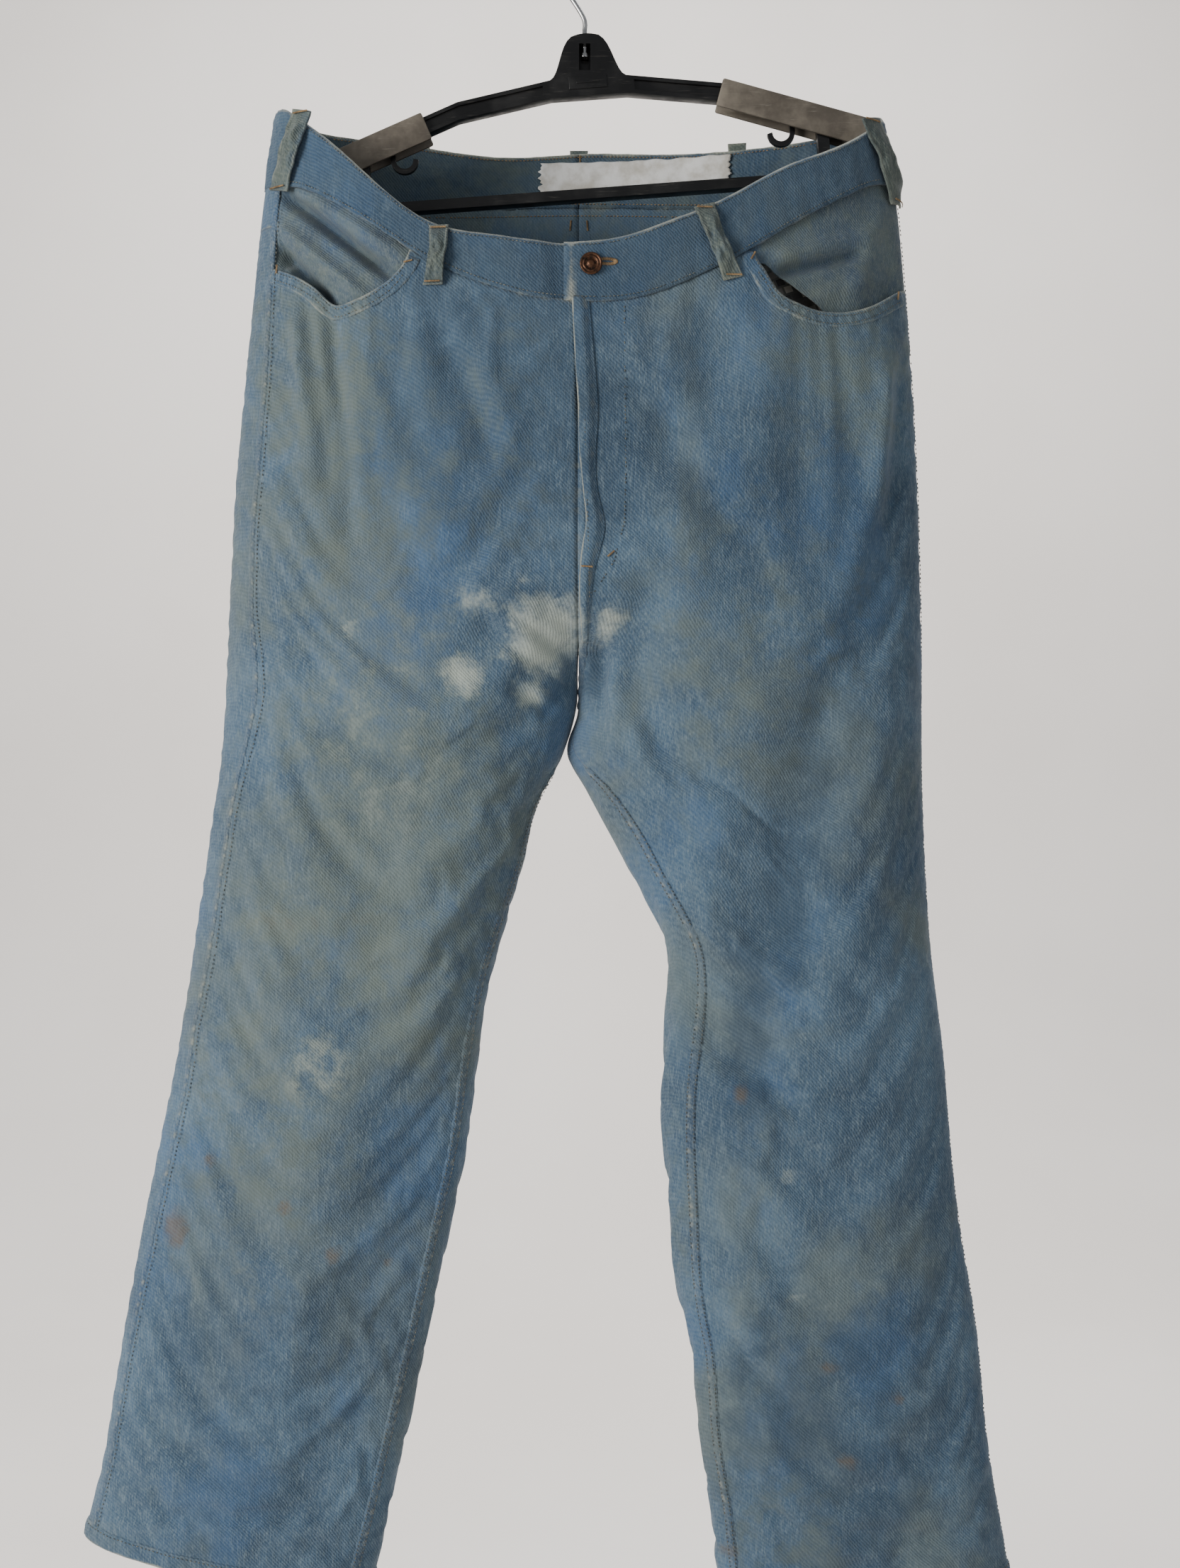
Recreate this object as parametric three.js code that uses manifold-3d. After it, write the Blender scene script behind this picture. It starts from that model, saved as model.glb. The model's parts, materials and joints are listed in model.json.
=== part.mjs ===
// Denim work trousers hung by the waist on an adjustable clothes hanger.
// Millimetres. +Z is up, the front faces -Y, and the wearer's left side is at +X.
// The origin is the point of the wire hook's inside that a rail touches.

import * as THREE from "three";
import Module from "manifold-3d";
import { mergeVertices } from "three/addons/utils/BufferGeometryUtils.js";

const wasm = await Module();
wasm.setup();

// ---------------------------------------------------------------------------
// Driving dimensions
// ---------------------------------------------------------------------------

// Wire hook
const WIRE_RADIUS = 2;
const HOOK_RADIUS = 19; // of the wire's centre line
const HOOK_REACH = 66; // from the rail down to the top of the crown
const STOP_RADIUS = 3.4; // head on the wire's lower end
const STOP_HEIGHT = 3;

// Hanger frame, drawn upright and then tilted as it hangs
const HANGER_TILT = 4.2; // degrees, wearer's left side up
const FRAME_DEPTH = 10; // front to back
const CROWN_WIDTH = 60;
const CROWN_HEIGHT = 46;
const ARM_HEIGHT = 14;
const INNER_ARM_SLOPE = 9; // degrees
const OUTER_ARM_SLOPE = 19.6; // degrees
const ARM_BEND_X = 104; // where the slope changes
const ARM_END_X = 186;
const BAR_DROP = 126; // from the crown's top to the middle of the trouser bar
const BAR_HEIGHT = 8;
const POST_WIDTH = 9; // upright between arm and bar
const CHANNEL_DEPTH = 2.5; // recess in each face of an arm
const CHANNEL_RIM = 3;
const J_HOOK_X = 158;
const J_HOOK_WIRE = 4;
const J_HOOK_RADIUS = 9;

// Shoulder sleeves
const SLEEVE_LENGTH = 127;
const SLEEVE_WALL = 2.2;
const SLEEVE_CLEARANCE = 0.8;
const SLEEVE_LIP = 5; // how far a sleeve hangs below its arm
const SLEEVE_START = { right: 132, left: 105 }; // distance from the crown's centre

// Trousers
const GARMENT_X = -5; // middle of the waist, from the hook
const WAIST_WIDTH = 480; // laid flat
const WAIST_SIDE_Z = -130; // top of the waistband at the side seams
const HIP_WIDTH = 550;
const FRONT_DEPTH = 65;
const BACK_DEPTH = 66;
const CROTCH_DEPTH = 54; // half depth where the legs start
const RISE = 425; // side waist down to the hip joint
const FRONT_SAG = 120; // the front waist hangs this far below the sides
const BACK_SAG = 4;
const BAND_HEIGHT = 44;
const BAND_SIDE_HEIGHT = 55; // the band leans in at the sides
const BAND_THICK = 1.6;
const CLOTH = 1.2;
const LAYER_GAP = 0.8;
const SEAM_GAP = 0.3; // degrees round the body
const BAND_SEAM = 0.6; // millimetres between the band and what is sewn to it
const SIDE_SEAM = { right: -70, left: 96 }; // degrees from the centre front
const YOKE_SIDE = 34;
const YOKE_CENTRE = 84;

// Legs
const HIP_CUT_RADIUS = 70; // round the hip axis
const LEG_CLEARANCE = 1.5;
const LEG_LENGTH = 712; // hip axis down to the hem, on the leg's middle
const THIGH_WIDTH = 272;
const KNEE_WIDTH = 237;
const HEM_WIDTH = 234;
const KNEE_DEPTH = 43; // half depths
const HEM_DEPTH = 38;
const LEG_SPREAD = 139; // a leg's middle from the garment's middle, at the hip axis
const LEG_LEAN = { right: 11.3, left: 7.5 }; // degrees outward
const LEG_EXTRA = { right: 0, left: 28 }; // the left side hangs lower
const LEG_SEAMS = {
  right: { from: -68, to: 75 },
  left: { from: -55, to: 100 },
};
const HEM_FOLD = 14;

// Front pockets
const SCOOP_MIDDLE = 190; // from the garment's middle
const SCOOP_HALF = 55;
const SCOOP_BOTTOM = 152; // below the side waist
const SCOOP_RISE = 42;
const POCKET_DEPTH = 170; // below the mouth
const POCKET_BULGE = 16;

// Back pockets
const BACK_POCKET = { from: 128, to: 166, top: 150, height: 128, point: 18 };
const BACK_POCKET_BULGE = 8;

// Belt loops
const LOOP_WIDTH = 15;
const LOOP_PROUD = 7;
const LOOP_THICK = 1.4;

// Fly and zip
const FLY_LENGTH = 200;
const ZIP_TAPE_WIDTH = 14;
const ZIP_PITCH = 5;
const ZIP_TOOTH = 1.6;
const ZIP_BEAD = 1.4;
const ZIP_MIDDLE_GAP = 2; // the slider's web runs in it
const SLIDER_HEIGHT = 12;
const SLIDER_WIDTH = 9;
const SLIDER_WEB = 1;
const PLATE = 0.8;
const PULL_WIDTH = 6;
const PULL_LENGTH = 24;

// Waist button
const BUTTON_RADIUS = 8.5;
const BUTTON_SHANK = 2.6;
const BUTTON_X = 5;
const BUTTON_DROP = 17; // below the band's top edge at the centre front
const TACK_RADIUS = 5;
const TACK_PIN = 1.4;
const FIT = 0.4; // clearance round a pin or a shank

// ---------------------------------------------------------------------------
// Materials
// ---------------------------------------------------------------------------

const denim = new THREE.MeshStandardMaterial({ color: 0x5e86ab, roughness: 0.92 });
const lining = new THREE.MeshStandardMaterial({ color: 0xb9b6aa, roughness: 0.95 });
const blackPlastic = new THREE.MeshStandardMaterial({ color: 0x101113, roughness: 0.35 });
const greyPlastic = new THREE.MeshStandardMaterial({ color: 0x8b857c, roughness: 0.55 });
const steel = new THREE.MeshStandardMaterial({ color: 0xb8babc, roughness: 0.25, metalness: 1 });
const copper = new THREE.MeshStandardMaterial({ color: 0x6b4a35, roughness: 0.45, metalness: 1 });
const brass = new THREE.MeshStandardMaterial({ color: 0xa8894a, roughness: 0.4, metalness: 1 });
const tape = new THREE.MeshStandardMaterial({ color: 0x4a6482, roughness: 0.9 });
const paper = new THREE.MeshStandardMaterial({ color: 0xd9d8d2, roughness: 0.9 });

// ---------------------------------------------------------------------------
// Small helpers
// ---------------------------------------------------------------------------

const { degToRad, lerp, smoothstep } = THREE.MathUtils;
const radiansSin = (degrees) => Math.sin(degToRad(degrees));
const radiansCos = (degrees) => Math.cos(degToRad(degrees));

const trousersAndHanger = new THREE.Group();

function addPart(name, geometry, material, parent = trousersAndHanger) {
  const mesh = new THREE.Mesh(geometry, material);
  mesh.name = name;
  parent.add(mesh);
  return mesh;
}

function toManifold(geometry) {
  const bare = geometry.clone();
  bare.deleteAttribute("normal");
  bare.deleteAttribute("uv");
  const merged = mergeVertices(bare, 1e-4);
  return new wasm.Manifold(
    new wasm.Mesh({
      numProp: 3,
      vertProperties: new Float32Array(merged.attributes.position.array),
      triVerts: new Uint32Array(merged.index.array),
    }),
  );
}

function fromManifold(solid) {
  const mesh = solid.getMesh();
  const geometry = new THREE.BufferGeometry();
  geometry.setAttribute("position", new THREE.BufferAttribute(mesh.vertProperties, 3));
  geometry.setIndex(new THREE.BufferAttribute(mesh.triVerts, 1));
  geometry.computeVertexNormals();
  return geometry;
}

// Values from first to last in even steps, both ends included.
function evenLines(first, last, steps) {
  return Array.from({ length: steps + 1 }, (_, i) => lerp(first, last, i / steps));
}

// Angles from one seam to the next, on the same fold lines for every layer, so that
// layers of cloth that lie on each other bend at the same places.
const LAP_LINES = [-7, -4];
const FOLD_LINES = [...evenLines(-360, 360, 72), ...LAP_LINES].sort((a, b) => a - b);

function angleLines(from, to) {
  const inner = FOLD_LINES.filter((angle) => angle >= from + 2.5 && angle <= to - 2.5);
  return [from, ...inner, to];
}

// A closed solid between the two faces of a sheet. place(u, v, depth) gives a point of
// the sheet at a depth below its outer face. A wrapped sheet joins its last line to its first.
function sheetGeometry(place, uLines, vLines, thickness, wrapped = false) {
  const columns = uLines.length;
  const rows = vLines.length;
  const positions = [];
  for (const depth of [0, thickness]) {
    for (const u of uLines) {
      for (const v of vLines) {
        positions.push(...place(u, v, depth).toArray());
      }
    }
  }
  const at = (face, i, j) => (face * columns + (i % columns)) * rows + j;
  const triangles = [];
  const quad = (a, b, c, d) => triangles.push(a, b, c, a, c, d);
  const lastColumn = wrapped ? columns : columns - 1;
  for (let i = 0; i < lastColumn; i++) {
    for (let j = 0; j < rows - 1; j++) {
      quad(at(0, i, j), at(0, i + 1, j), at(0, i + 1, j + 1), at(0, i, j + 1));
      quad(at(1, i, j), at(1, i, j + 1), at(1, i + 1, j + 1), at(1, i + 1, j));
    }
    quad(at(0, i, 0), at(1, i, 0), at(1, i + 1, 0), at(0, i + 1, 0));
    quad(at(0, i, rows - 1), at(0, i + 1, rows - 1), at(1, i + 1, rows - 1), at(1, i, rows - 1));
  }
  if (!wrapped) {
    for (let j = 0; j < rows - 1; j++) {
      quad(at(0, 0, j), at(0, 0, j + 1), at(1, 0, j + 1), at(1, 0, j));
      const end = columns - 1;
      quad(at(0, end, j), at(1, end, j), at(1, end, j + 1), at(0, end, j + 1));
    }
  }
  const geometry = new THREE.BufferGeometry();
  geometry.setAttribute("position", new THREE.Float32BufferAttribute(positions, 3));
  geometry.setIndex(facingOut(positions, triangles));
  geometry.computeVertexNormals();
  return geometry;
}

// Turns the triangles round if the solid they close has a negative volume.
function facingOut(positions, triangles) {
  const corner = (index) => new THREE.Vector3().fromArray(positions, index * 3);
  let volume = 0;
  for (let i = 0; i < triangles.length; i += 3) {
    const [a, b, c] = [corner(triangles[i]), corner(triangles[i + 1]), corner(triangles[i + 2])];
    volume += a.dot(b.cross(c));
  }
  return volume < 0 ? triangles.reverse() : triangles;
}

function block(width, depth, height, x, y, z) {
  return new THREE.BoxGeometry(width, depth, height).translate(x, y, z);
}

// A flat outline in X and Z, given a thickness in Y about Y = 0.
function plate(shape, depth, curveSegments = 8) {
  const geometry = new THREE.ExtrudeGeometry(shape, { depth, bevelEnabled: false, curveSegments });
  return geometry.rotateX(Math.PI / 2).translate(0, depth / 2, 0);
}

// ---------------------------------------------------------------------------
// The cloth surfaces
// ---------------------------------------------------------------------------

const HIP_Z = WAIST_SIDE_Z - RISE; // height of the hip axis
const CUT_BOTTOM_Z = HIP_Z - HIP_CUT_RADIUS;

// How strongly the front waist sags at an angle: 0 at the sides and 1 at the centre.
function sagShare(angle, power) {
  const across = Math.min(1, Math.abs(radiansSin(angle)));
  return Math.cos((Math.PI / 2) * across ** power) ** 2;
}

const isFront = (angle) => radiansCos(angle) > 0;

function bandTop(angle) {
  if (!isFront(angle)) {
    return WAIST_SIDE_Z - BACK_SAG * sagShare(angle, 1);
  }
  return WAIST_SIDE_Z - FRONT_SAG * sagShare(angle, angle < 0 ? 1.8 : 1.2);
}

function bandBottom(angle) {
  const side = WAIST_SIDE_Z - BAND_SIDE_HEIGHT;
  const topAtCentre = WAIST_SIDE_Z - (isFront(angle) ? FRONT_SAG : BACK_SAG);
  return lerp(side, topAtCentre - BAND_HEIGHT, sagShare(angle, 1.3));
}

// A point on the waist and seat, at a depth below the cloth's outer face.
function seatPoint(angle, z, inset = 0) {
  const down = THREE.MathUtils.clamp((WAIST_SIDE_Z - z) / RISE, 0, 1);
  const halfWidth = lerp(WAIST_WIDTH / 2, HIP_WIDTH / 2, 1 - (1 - down) ** 2);
  const full = isFront(angle) ? FRONT_DEPTH : BACK_DEPTH;
  const flyEnd = bandBottom(0) - FLY_LENGTH - 14;
  const toCrotch = smoothstep(-z, -flyEnd, -CUT_BOTTOM_Z);
  const halfDepth = lerp(full, CROTCH_DEPTH, toCrotch);
  const across = radiansSin(angle);
  const x = halfWidth * across;
  const pinch = 1 - 0.9 * toCrotch * Math.exp(-((x / 45) ** 2));
  const y = -halfDepth * radiansCos(angle) * pinch;
  const outward = new THREE.Vector2(across / halfWidth, -radiansCos(angle) / halfDepth);
  outward.normalize();
  return new THREE.Vector3(GARMENT_X + x - outward.x * inset, y - outward.y * inset, z);
}

// The height where a wall meets a cylinder round the hip axis, found by repeated steps.
function cutHeight(point, angle, inset, radius) {
  let z = HIP_Z - radius / 2;
  for (let i = 0; i < 12; i++) {
    const { y } = point(angle, z, inset);
    z = HIP_Z - Math.sqrt(Math.max(0, radius ** 2 - y ** 2));
  }
  return z;
}

const seatBottom = (angle, inset) => cutHeight(seatPoint, angle, inset, HIP_CUT_RADIUS);

// The scooped edge of a front pocket, as a height at an angle.
function scoopHeight(angle) {
  const { x } = seatPoint(angle, WAIST_SIDE_Z - SCOOP_BOTTOM);
  const off = (Math.abs(x - GARMENT_X) - SCOOP_MIDDLE) / SCOOP_HALF;
  return WAIST_SIDE_Z - SCOOP_BOTTOM + SCOOP_RISE * off ** 2;
}

function yokeSeam(angle) {
  return bandBottom(angle) - lerp(YOKE_SIDE, YOKE_CENTRE, sagShare(angle, 1));
}

// A panel of the seat between two angles, and from a top height to a bottom height.
function seatPanel(from, to, top, bottom, rows, options = {}) {
  const { inset = () => 0, thickness = CLOTH } = options;
  const columns = angleLines(from, to);
  const place = (angle, v, depth) => {
    const u = (angle - from) / (to - from);
    const under = inset(u, v) + depth;
    const z = lerp(top(angle, under), bottom(angle, under), v);
    return seatPoint(angle, z, under);
  };
  return sheetGeometry(place, columns, evenLines(0, 1, rows), thickness);
}

// ---------------------------------------------------------------------------
// Hanger
// ---------------------------------------------------------------------------

const CROWN_TOP_Z = -HOOK_REACH;

// The wire's centre line: a stem out of the crown, then a turn of hook over the rail.
function makeWireHook() {
  const centreZ = WIRE_RADIUS - HOOK_RADIUS;
  const stem = [
    new THREE.Vector3(0, 0, CROWN_TOP_Z - 16),
    new THREE.Vector3(0, 0, CROWN_TOP_Z - 6),
    new THREE.Vector3(0, 0, CROWN_TOP_Z + 3),
    new THREE.Vector3(0, 0, CROWN_TOP_Z + 12),
  ];
  const turn = evenLines(215, -25, 10).map(
    (angle) =>
      new THREE.Vector3(HOOK_RADIUS * radiansCos(angle), 0, centreZ + HOOK_RADIUS * radiansSin(angle)),
  );
  const path = new THREE.CatmullRomCurve3([...stem, ...turn], false, "centripetal");
  const section = new THREE.Shape().absarc(0, 0, WIRE_RADIUS, 0, 2 * Math.PI, false);
  const wire = new THREE.ExtrudeGeometry(section, {
    steps: 40,
    curveSegments: 5,
    extrudePath: path,
  });
  const head = new THREE.CylinderGeometry(STOP_RADIUS, STOP_RADIUS, STOP_HEIGHT, 16);
  head.rotateX(Math.PI / 2).translate(0, 0, CROWN_TOP_Z - 16);
  return fromManifold(toManifold(wire).add(toManifold(head)));
}

// Height of an arm's top edge above or below the crown's top, at a distance from the middle.
function armTop(x) {
  const start = -CROWN_HEIGHT + 11;
  const bend = start - (ARM_BEND_X - CROWN_WIDTH / 2) * Math.tan(degToRad(INNER_ARM_SLOPE));
  if (x < ARM_BEND_X) {
    return start - (x - CROWN_WIDTH / 2) * Math.tan(degToRad(INNER_ARM_SLOPE));
  }
  return bend - (x - ARM_BEND_X) * Math.tan(degToRad(OUTER_ARM_SLOPE));
}

// The outline of crown, arms, posts and bar, with the open space in it as a hole.
function frameOutline() {
  const half = CROWN_WIDTH / 2;
  const barTop = -BAR_DROP + BAR_HEIGHT / 2;
  const outline = new THREE.Shape();
  outline.moveTo(half, armTop(half));
  outline.lineTo(ARM_BEND_X, armTop(ARM_BEND_X));
  outline.lineTo(ARM_END_X, armTop(ARM_END_X));
  outline.lineTo(ARM_END_X, barTop - BAR_HEIGHT);
  outline.lineTo(-ARM_END_X, barTop - BAR_HEIGHT);
  outline.lineTo(-ARM_END_X, armTop(ARM_END_X));
  outline.lineTo(-ARM_BEND_X, armTop(ARM_BEND_X));
  outline.lineTo(-half, armTop(half));
  outline.bezierCurveTo(-half + 8, armTop(half) + 3, -half + 9, -8, -11, -2);
  outline.quadraticCurveTo(0, 2, 11, -2);
  outline.bezierCurveTo(half - 9, -8, half - 8, armTop(half) + 3, half, armTop(half));

  const inside = ARM_END_X - POST_WIDTH;
  const hole = new THREE.Path();
  hole.moveTo(inside, barTop);
  hole.lineTo(inside, armTop(inside) - ARM_HEIGHT);
  hole.lineTo(ARM_BEND_X, armTop(ARM_BEND_X) - ARM_HEIGHT);
  hole.lineTo(half, armTop(half) - ARM_HEIGHT);
  hole.lineTo(-half, armTop(half) - ARM_HEIGHT);
  hole.lineTo(-ARM_BEND_X, armTop(ARM_BEND_X) - ARM_HEIGHT);
  hole.lineTo(-inside, armTop(inside) - ARM_HEIGHT);
  hole.lineTo(-inside, barTop);
  outline.holes.push(hole);
  return outline;
}

// A recess in the face of one arm, from beside the crown to near its end.
function channelOutline(side) {
  const near = CROWN_WIDTH / 2 + 6;
  const far = ARM_END_X - POST_WIDTH;
  const rim = CHANNEL_RIM;
  return new THREE.Shape([
    new THREE.Vector2(side * near, armTop(near) - rim),
    new THREE.Vector2(side * ARM_BEND_X, armTop(ARM_BEND_X) - rim),
    new THREE.Vector2(side * far, armTop(far) - rim),
    new THREE.Vector2(side * far, armTop(far) - ARM_HEIGHT + rim),
    new THREE.Vector2(side * ARM_BEND_X, armTop(ARM_BEND_X) - ARM_HEIGHT + rim),
    new THREE.Vector2(side * near, armTop(near) - ARM_HEIGHT + rim),
  ]);
}

// A small J that hangs under an arm, open upward, with its tip towards the crown.
function makeJHook(side) {
  const x = side * J_HOOK_X;
  const top = armTop(J_HOOK_X) - ARM_HEIGHT + 1;
  const bottom = top - J_HOOK_RADIUS;
  const curve = evenLines(0, -180, 6).map(
    (angle) =>
      new THREE.Vector3(
        x - side * J_HOOK_RADIUS * (1 - radiansCos(angle)),
        0,
        bottom + J_HOOK_RADIUS * radiansSin(angle),
      ),
  );
  const path = new THREE.CatmullRomCurve3([new THREE.Vector3(x, 0, top), ...curve]);
  const half = J_HOOK_WIRE / 2;
  const section = new THREE.Shape([
    new THREE.Vector2(-half, -half),
    new THREE.Vector2(half, -half),
    new THREE.Vector2(half, half),
    new THREE.Vector2(-half, half),
  ]);
  return new THREE.ExtrudeGeometry(section, { steps: 14, extrudePath: path });
}

function makeHangerFrame() {
  let solid = toManifold(plate(frameOutline(), FRAME_DEPTH));
  for (const side of [-1, 1]) {
    solid = solid.add(toManifold(makeJHook(side)));
    for (const face of [-1, 1]) {
      const recess = plate(channelOutline(side), 2 * CHANNEL_DEPTH);
      recess.translate(0, (face * FRAME_DEPTH) / 2, 0);
      solid = solid.subtract(toManifold(recess));
    }
  }
  // The bore and the window for the wire's head are upright once the frame has tilted.
  const bore = new THREE.CylinderGeometry(WIRE_RADIUS + FIT, WIRE_RADIUS + FIT, 20, 20);
  bore.rotateX(Math.PI / 2).translate(0, 0, -6).rotateY(degToRad(HANGER_TILT));
  const windowHeight = STOP_HEIGHT + 18;
  const window = block(2 * STOP_RADIUS + 2, FRAME_DEPTH + 2, windowHeight, 0, 0, -8 - windowHeight / 2);
  window.rotateY(degToRad(HANGER_TILT));
  return fromManifold(solid.subtract(toManifold(bore)).subtract(toManifold(window)));
}

// A channel that rides on the straight outer part of an arm, closed at its far end.
function makeSleeve() {
  const inner = FRAME_DEPTH / 2 + SLEEVE_CLEARANCE;
  const outer = inner + SLEEVE_WALL;
  const top = SLEEVE_CLEARANCE + SLEEVE_WALL;
  const height = top + ARM_HEIGHT + SLEEVE_LIP;
  const shell = block(SLEEVE_LENGTH, 2 * outer, height, SLEEVE_LENGTH / 2, 0, top - height / 2);
  const space = block(
    SLEEVE_LENGTH,
    2 * inner,
    height,
    SLEEVE_LENGTH / 2 - SLEEVE_WALL,
    0,
    SLEEVE_CLEARANCE - height / 2,
  );
  return fromManifold(toManifold(shell).subtract(toManifold(space)));
}

addPart("wire_hook", makeWireHook(), steel);

const hanger = new THREE.Group();
hanger.position.set(0, 0, CROWN_TOP_Z);
hanger.rotation.y = -degToRad(HANGER_TILT);
trousersAndHanger.add(hanger);
addPart("hanger_frame", makeHangerFrame(), blackPlastic, hanger);

for (const [name, side] of [["right", -1], ["left", 1]]) {
  const slope = new THREE.Group();
  const start = SLEEVE_START[name];
  slope.position.set(side * start, 0, armTop(start));
  slope.rotation.set(0, side * degToRad(OUTER_ARM_SLOPE), side > 0 ? 0 : Math.PI);
  hanger.add(slope);
  addPart(`shoulder_sleeve_${name}`, makeSleeve(), greyPlastic, slope);
}

// ---------------------------------------------------------------------------
// Waistband, button and label
// ---------------------------------------------------------------------------

const LEFT_END = -1.4; // degrees: the buttonhole end laps past the centre
const RIGHT_END = 7; // degrees: the button end runs on behind it
const LAP = BAND_THICK + LAYER_GAP;
const BUTTON_Z = bandTop(0) - BUTTON_DROP;

// The button end drops behind the buttonhole end on its way to the fly.
function lapInset(angle) {
  return LAP * smoothstep(angle, -10, -4);
}

function makeBand(from, to, insetAt) {
  const place = (angle, v, depth) => {
    const z = lerp(bandTop(angle), bandBottom(angle), v);
    return seatPoint(angle, z, insetAt(angle) + depth);
  };
  return sheetGeometry(place, angleLines(from, to), evenLines(0, 1, 2), BAND_THICK);
}

const CENTRE_BACK = 180;
const frontY = -FRONT_DEPTH;

const buttonEnd = makeBand(-CENTRE_BACK + SEAM_GAP / 4, RIGHT_END, lapInset);
const pinHole = new THREE.CylinderGeometry(TACK_PIN + FIT, TACK_PIN + FIT, 20, 16);
pinHole.translate(BUTTON_X, frontY, BUTTON_Z);
addPart(
  "waistband_right",
  fromManifold(toManifold(buttonEnd).subtract(toManifold(pinHole))),
  denim,
);

const holeEnd = makeBand(LEFT_END, CENTRE_BACK - SEAM_GAP / 4, () => 0);
const holeLength = 2 * BUTTON_RADIUS + 6;
const holeHeight = 2 * (BUTTON_SHANK + FIT);
const buttonhole = block(
  holeLength,
  20,
  holeHeight,
  BUTTON_X - BUTTON_SHANK - FIT + holeLength / 2,
  frontY,
  BUTTON_Z,
);
addPart(
  "waistband_left",
  fromManifold(toManifold(holeEnd).subtract(toManifold(buttonhole))),
  denim,
);

// Turned about the Y axis: the profile's second value is the distance behind the band's face.
function turnedPart(profile, segments) {
  const points = profile.map(([radius, behind]) => new THREE.Vector2(radius, behind));
  return new THREE.LatheGeometry(points, segments).translate(BUTTON_X, frontY, BUTTON_Z);
}

const shankEnd = LAP - 0.3;
addPart(
  "waist_button",
  turnedPart(
    [
      [0, -4.6],
      [BUTTON_RADIUS * 0.35, -4.6],
      [BUTTON_RADIUS * 0.45, -4.1],
      [BUTTON_RADIUS * 0.72, -4.1],
      [BUTTON_RADIUS * 0.82, -4.7],
      [BUTTON_RADIUS * 0.95, -4.2],
      [BUTTON_RADIUS, -3.2],
      [BUTTON_RADIUS * 0.92, -1.6],
      [BUTTON_SHANK, -1.2],
      [BUTTON_SHANK, shankEnd],
      [0, shankEnd],
    ],
    24,
  ),
  copper,
);

const tackFace = LAP + BAND_THICK + 0.3;
addPart(
  "button_tack",
  turnedPart(
    [
      [0, LAP + 0.2],
      [TACK_PIN, LAP + 0.2],
      [TACK_PIN, tackFace],
      [TACK_RADIUS, tackFace],
      [TACK_RADIUS, tackFace + 1.2],
      [0, tackFace + 1.2],
    ],
    16,
  ),
  copper,
);

const labelTop = () => WAIST_SIDE_Z - 12;
const labelBottom = () => WAIST_SIDE_Z - 37;
addPart(
  "waist_label",
  seatPanel(149, 187, labelTop, labelBottom, 1, {
    inset: () => BAND_THICK + 0.6,
    thickness: 0.5,
  }),
  paper,
);

// ---------------------------------------------------------------------------
// Seat panels, pockets and belt loops
// ---------------------------------------------------------------------------

const underBand = (angle) => bandBottom(angle) - BAND_SEAM;
const frontTop = (angle) => Math.min(underBand(angle), scoopHeight(angle));
const FLY_EDGE = 0.07; // degrees, a hair's breadth of gap at the fly

addPart(
  "front_panel_right",
  seatPanel(SIDE_SEAM.right + SEAM_GAP, -FLY_EDGE, frontTop, seatBottom, 8),
  denim,
);
addPart(
  "front_panel_left",
  seatPanel(0, SIDE_SEAM.left - SEAM_GAP, frontTop, seatBottom, 8),
  denim,
);

const backSides = {
  right: { from: -CENTRE_BACK + FLY_EDGE, to: SIDE_SEAM.right },
  left: { from: SIDE_SEAM.left, to: CENTRE_BACK - FLY_EDGE },
};
// The yoke fills what lies between the waistband's seam and its own lower seam.
const yokeTop = underBand;
const underYoke = (angle) => yokeSeam(angle) - BAND_SEAM;

for (const [name, { from, to }] of Object.entries(backSides)) {
  addPart(`yoke_${name}`, seatPanel(from, to, yokeTop, yokeSeam, 2), denim);
  addPart(`back_panel_${name}`, seatPanel(from, to, underYoke, seatBottom, 8), denim);
}

// Bulges a layer in the middle and keeps it close along both side edges.
const acrossBulge = (u) => Math.sqrt(Math.sin(Math.PI * THREE.MathUtils.clamp(u, 0, 1)));

const pockets = {
  right: { outer: -66, inner: -22, facingInner: -30 },
  left: { outer: 66, inner: 22, facingInner: 30 },
};
const bagStart = CLOTH + LAYER_GAP;
const facingFoot = (angle) => scoopHeight(angle) - 22;
const bagTop = (angle) => Math.min(facingFoot(angle), underBand(angle) - 40) - LAYER_GAP;
const bagFoot = () => WAIST_SIDE_Z - SCOOP_BOTTOM - POCKET_DEPTH;

for (const [name, pocket] of Object.entries(pockets)) {
  const facingEnds = [pocket.outer, pocket.facingInner].sort((a, b) => a - b);
  const facingBottom = (angle) => Math.min(facingFoot(angle), underBand(angle) - 40);
  addPart(
    `pocket_facing_${name}`,
    seatPanel(...facingEnds, underBand, facingBottom, 3, {
      inset: (u, v) => bagStart + POCKET_BULGE * 0.6 * v * acrossBulge(u),
    }),
    denim,
  );
  const bagEnds = [pocket.outer, pocket.inner].sort((a, b) => a - b);
  addPart(
    `pocket_bag_${name}`,
    seatPanel(...bagEnds, bagTop, bagFoot, 5, {
      inset: (u, v) => bagStart + POCKET_BULGE * acrossBulge(u) * Math.sqrt(1 - v) * (0.6 + 0.8 * v),
    }),
    lining,
  );
}

function backPocketPanel(from, to) {
  const top = () => WAIST_SIDE_Z - BACK_POCKET.top;
  const middle = (from + to) / 2;
  const bottom = (angle) => {
    const toMiddle = 1 - Math.abs(angle - middle) / ((to - from) / 2);
    return WAIST_SIDE_Z - BACK_POCKET.top - BACK_POCKET.height - BACK_POCKET.point * toMiddle;
  };
  const bulge = (u, v) => BACK_POCKET_BULGE * acrossBulge(u) * Math.sqrt(1 - v);
  return seatPanel(from, to, top, bottom, 4, {
    inset: (u, v) => -(CLOTH + LAYER_GAP) - bulge(u, v),
  });
}

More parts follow.
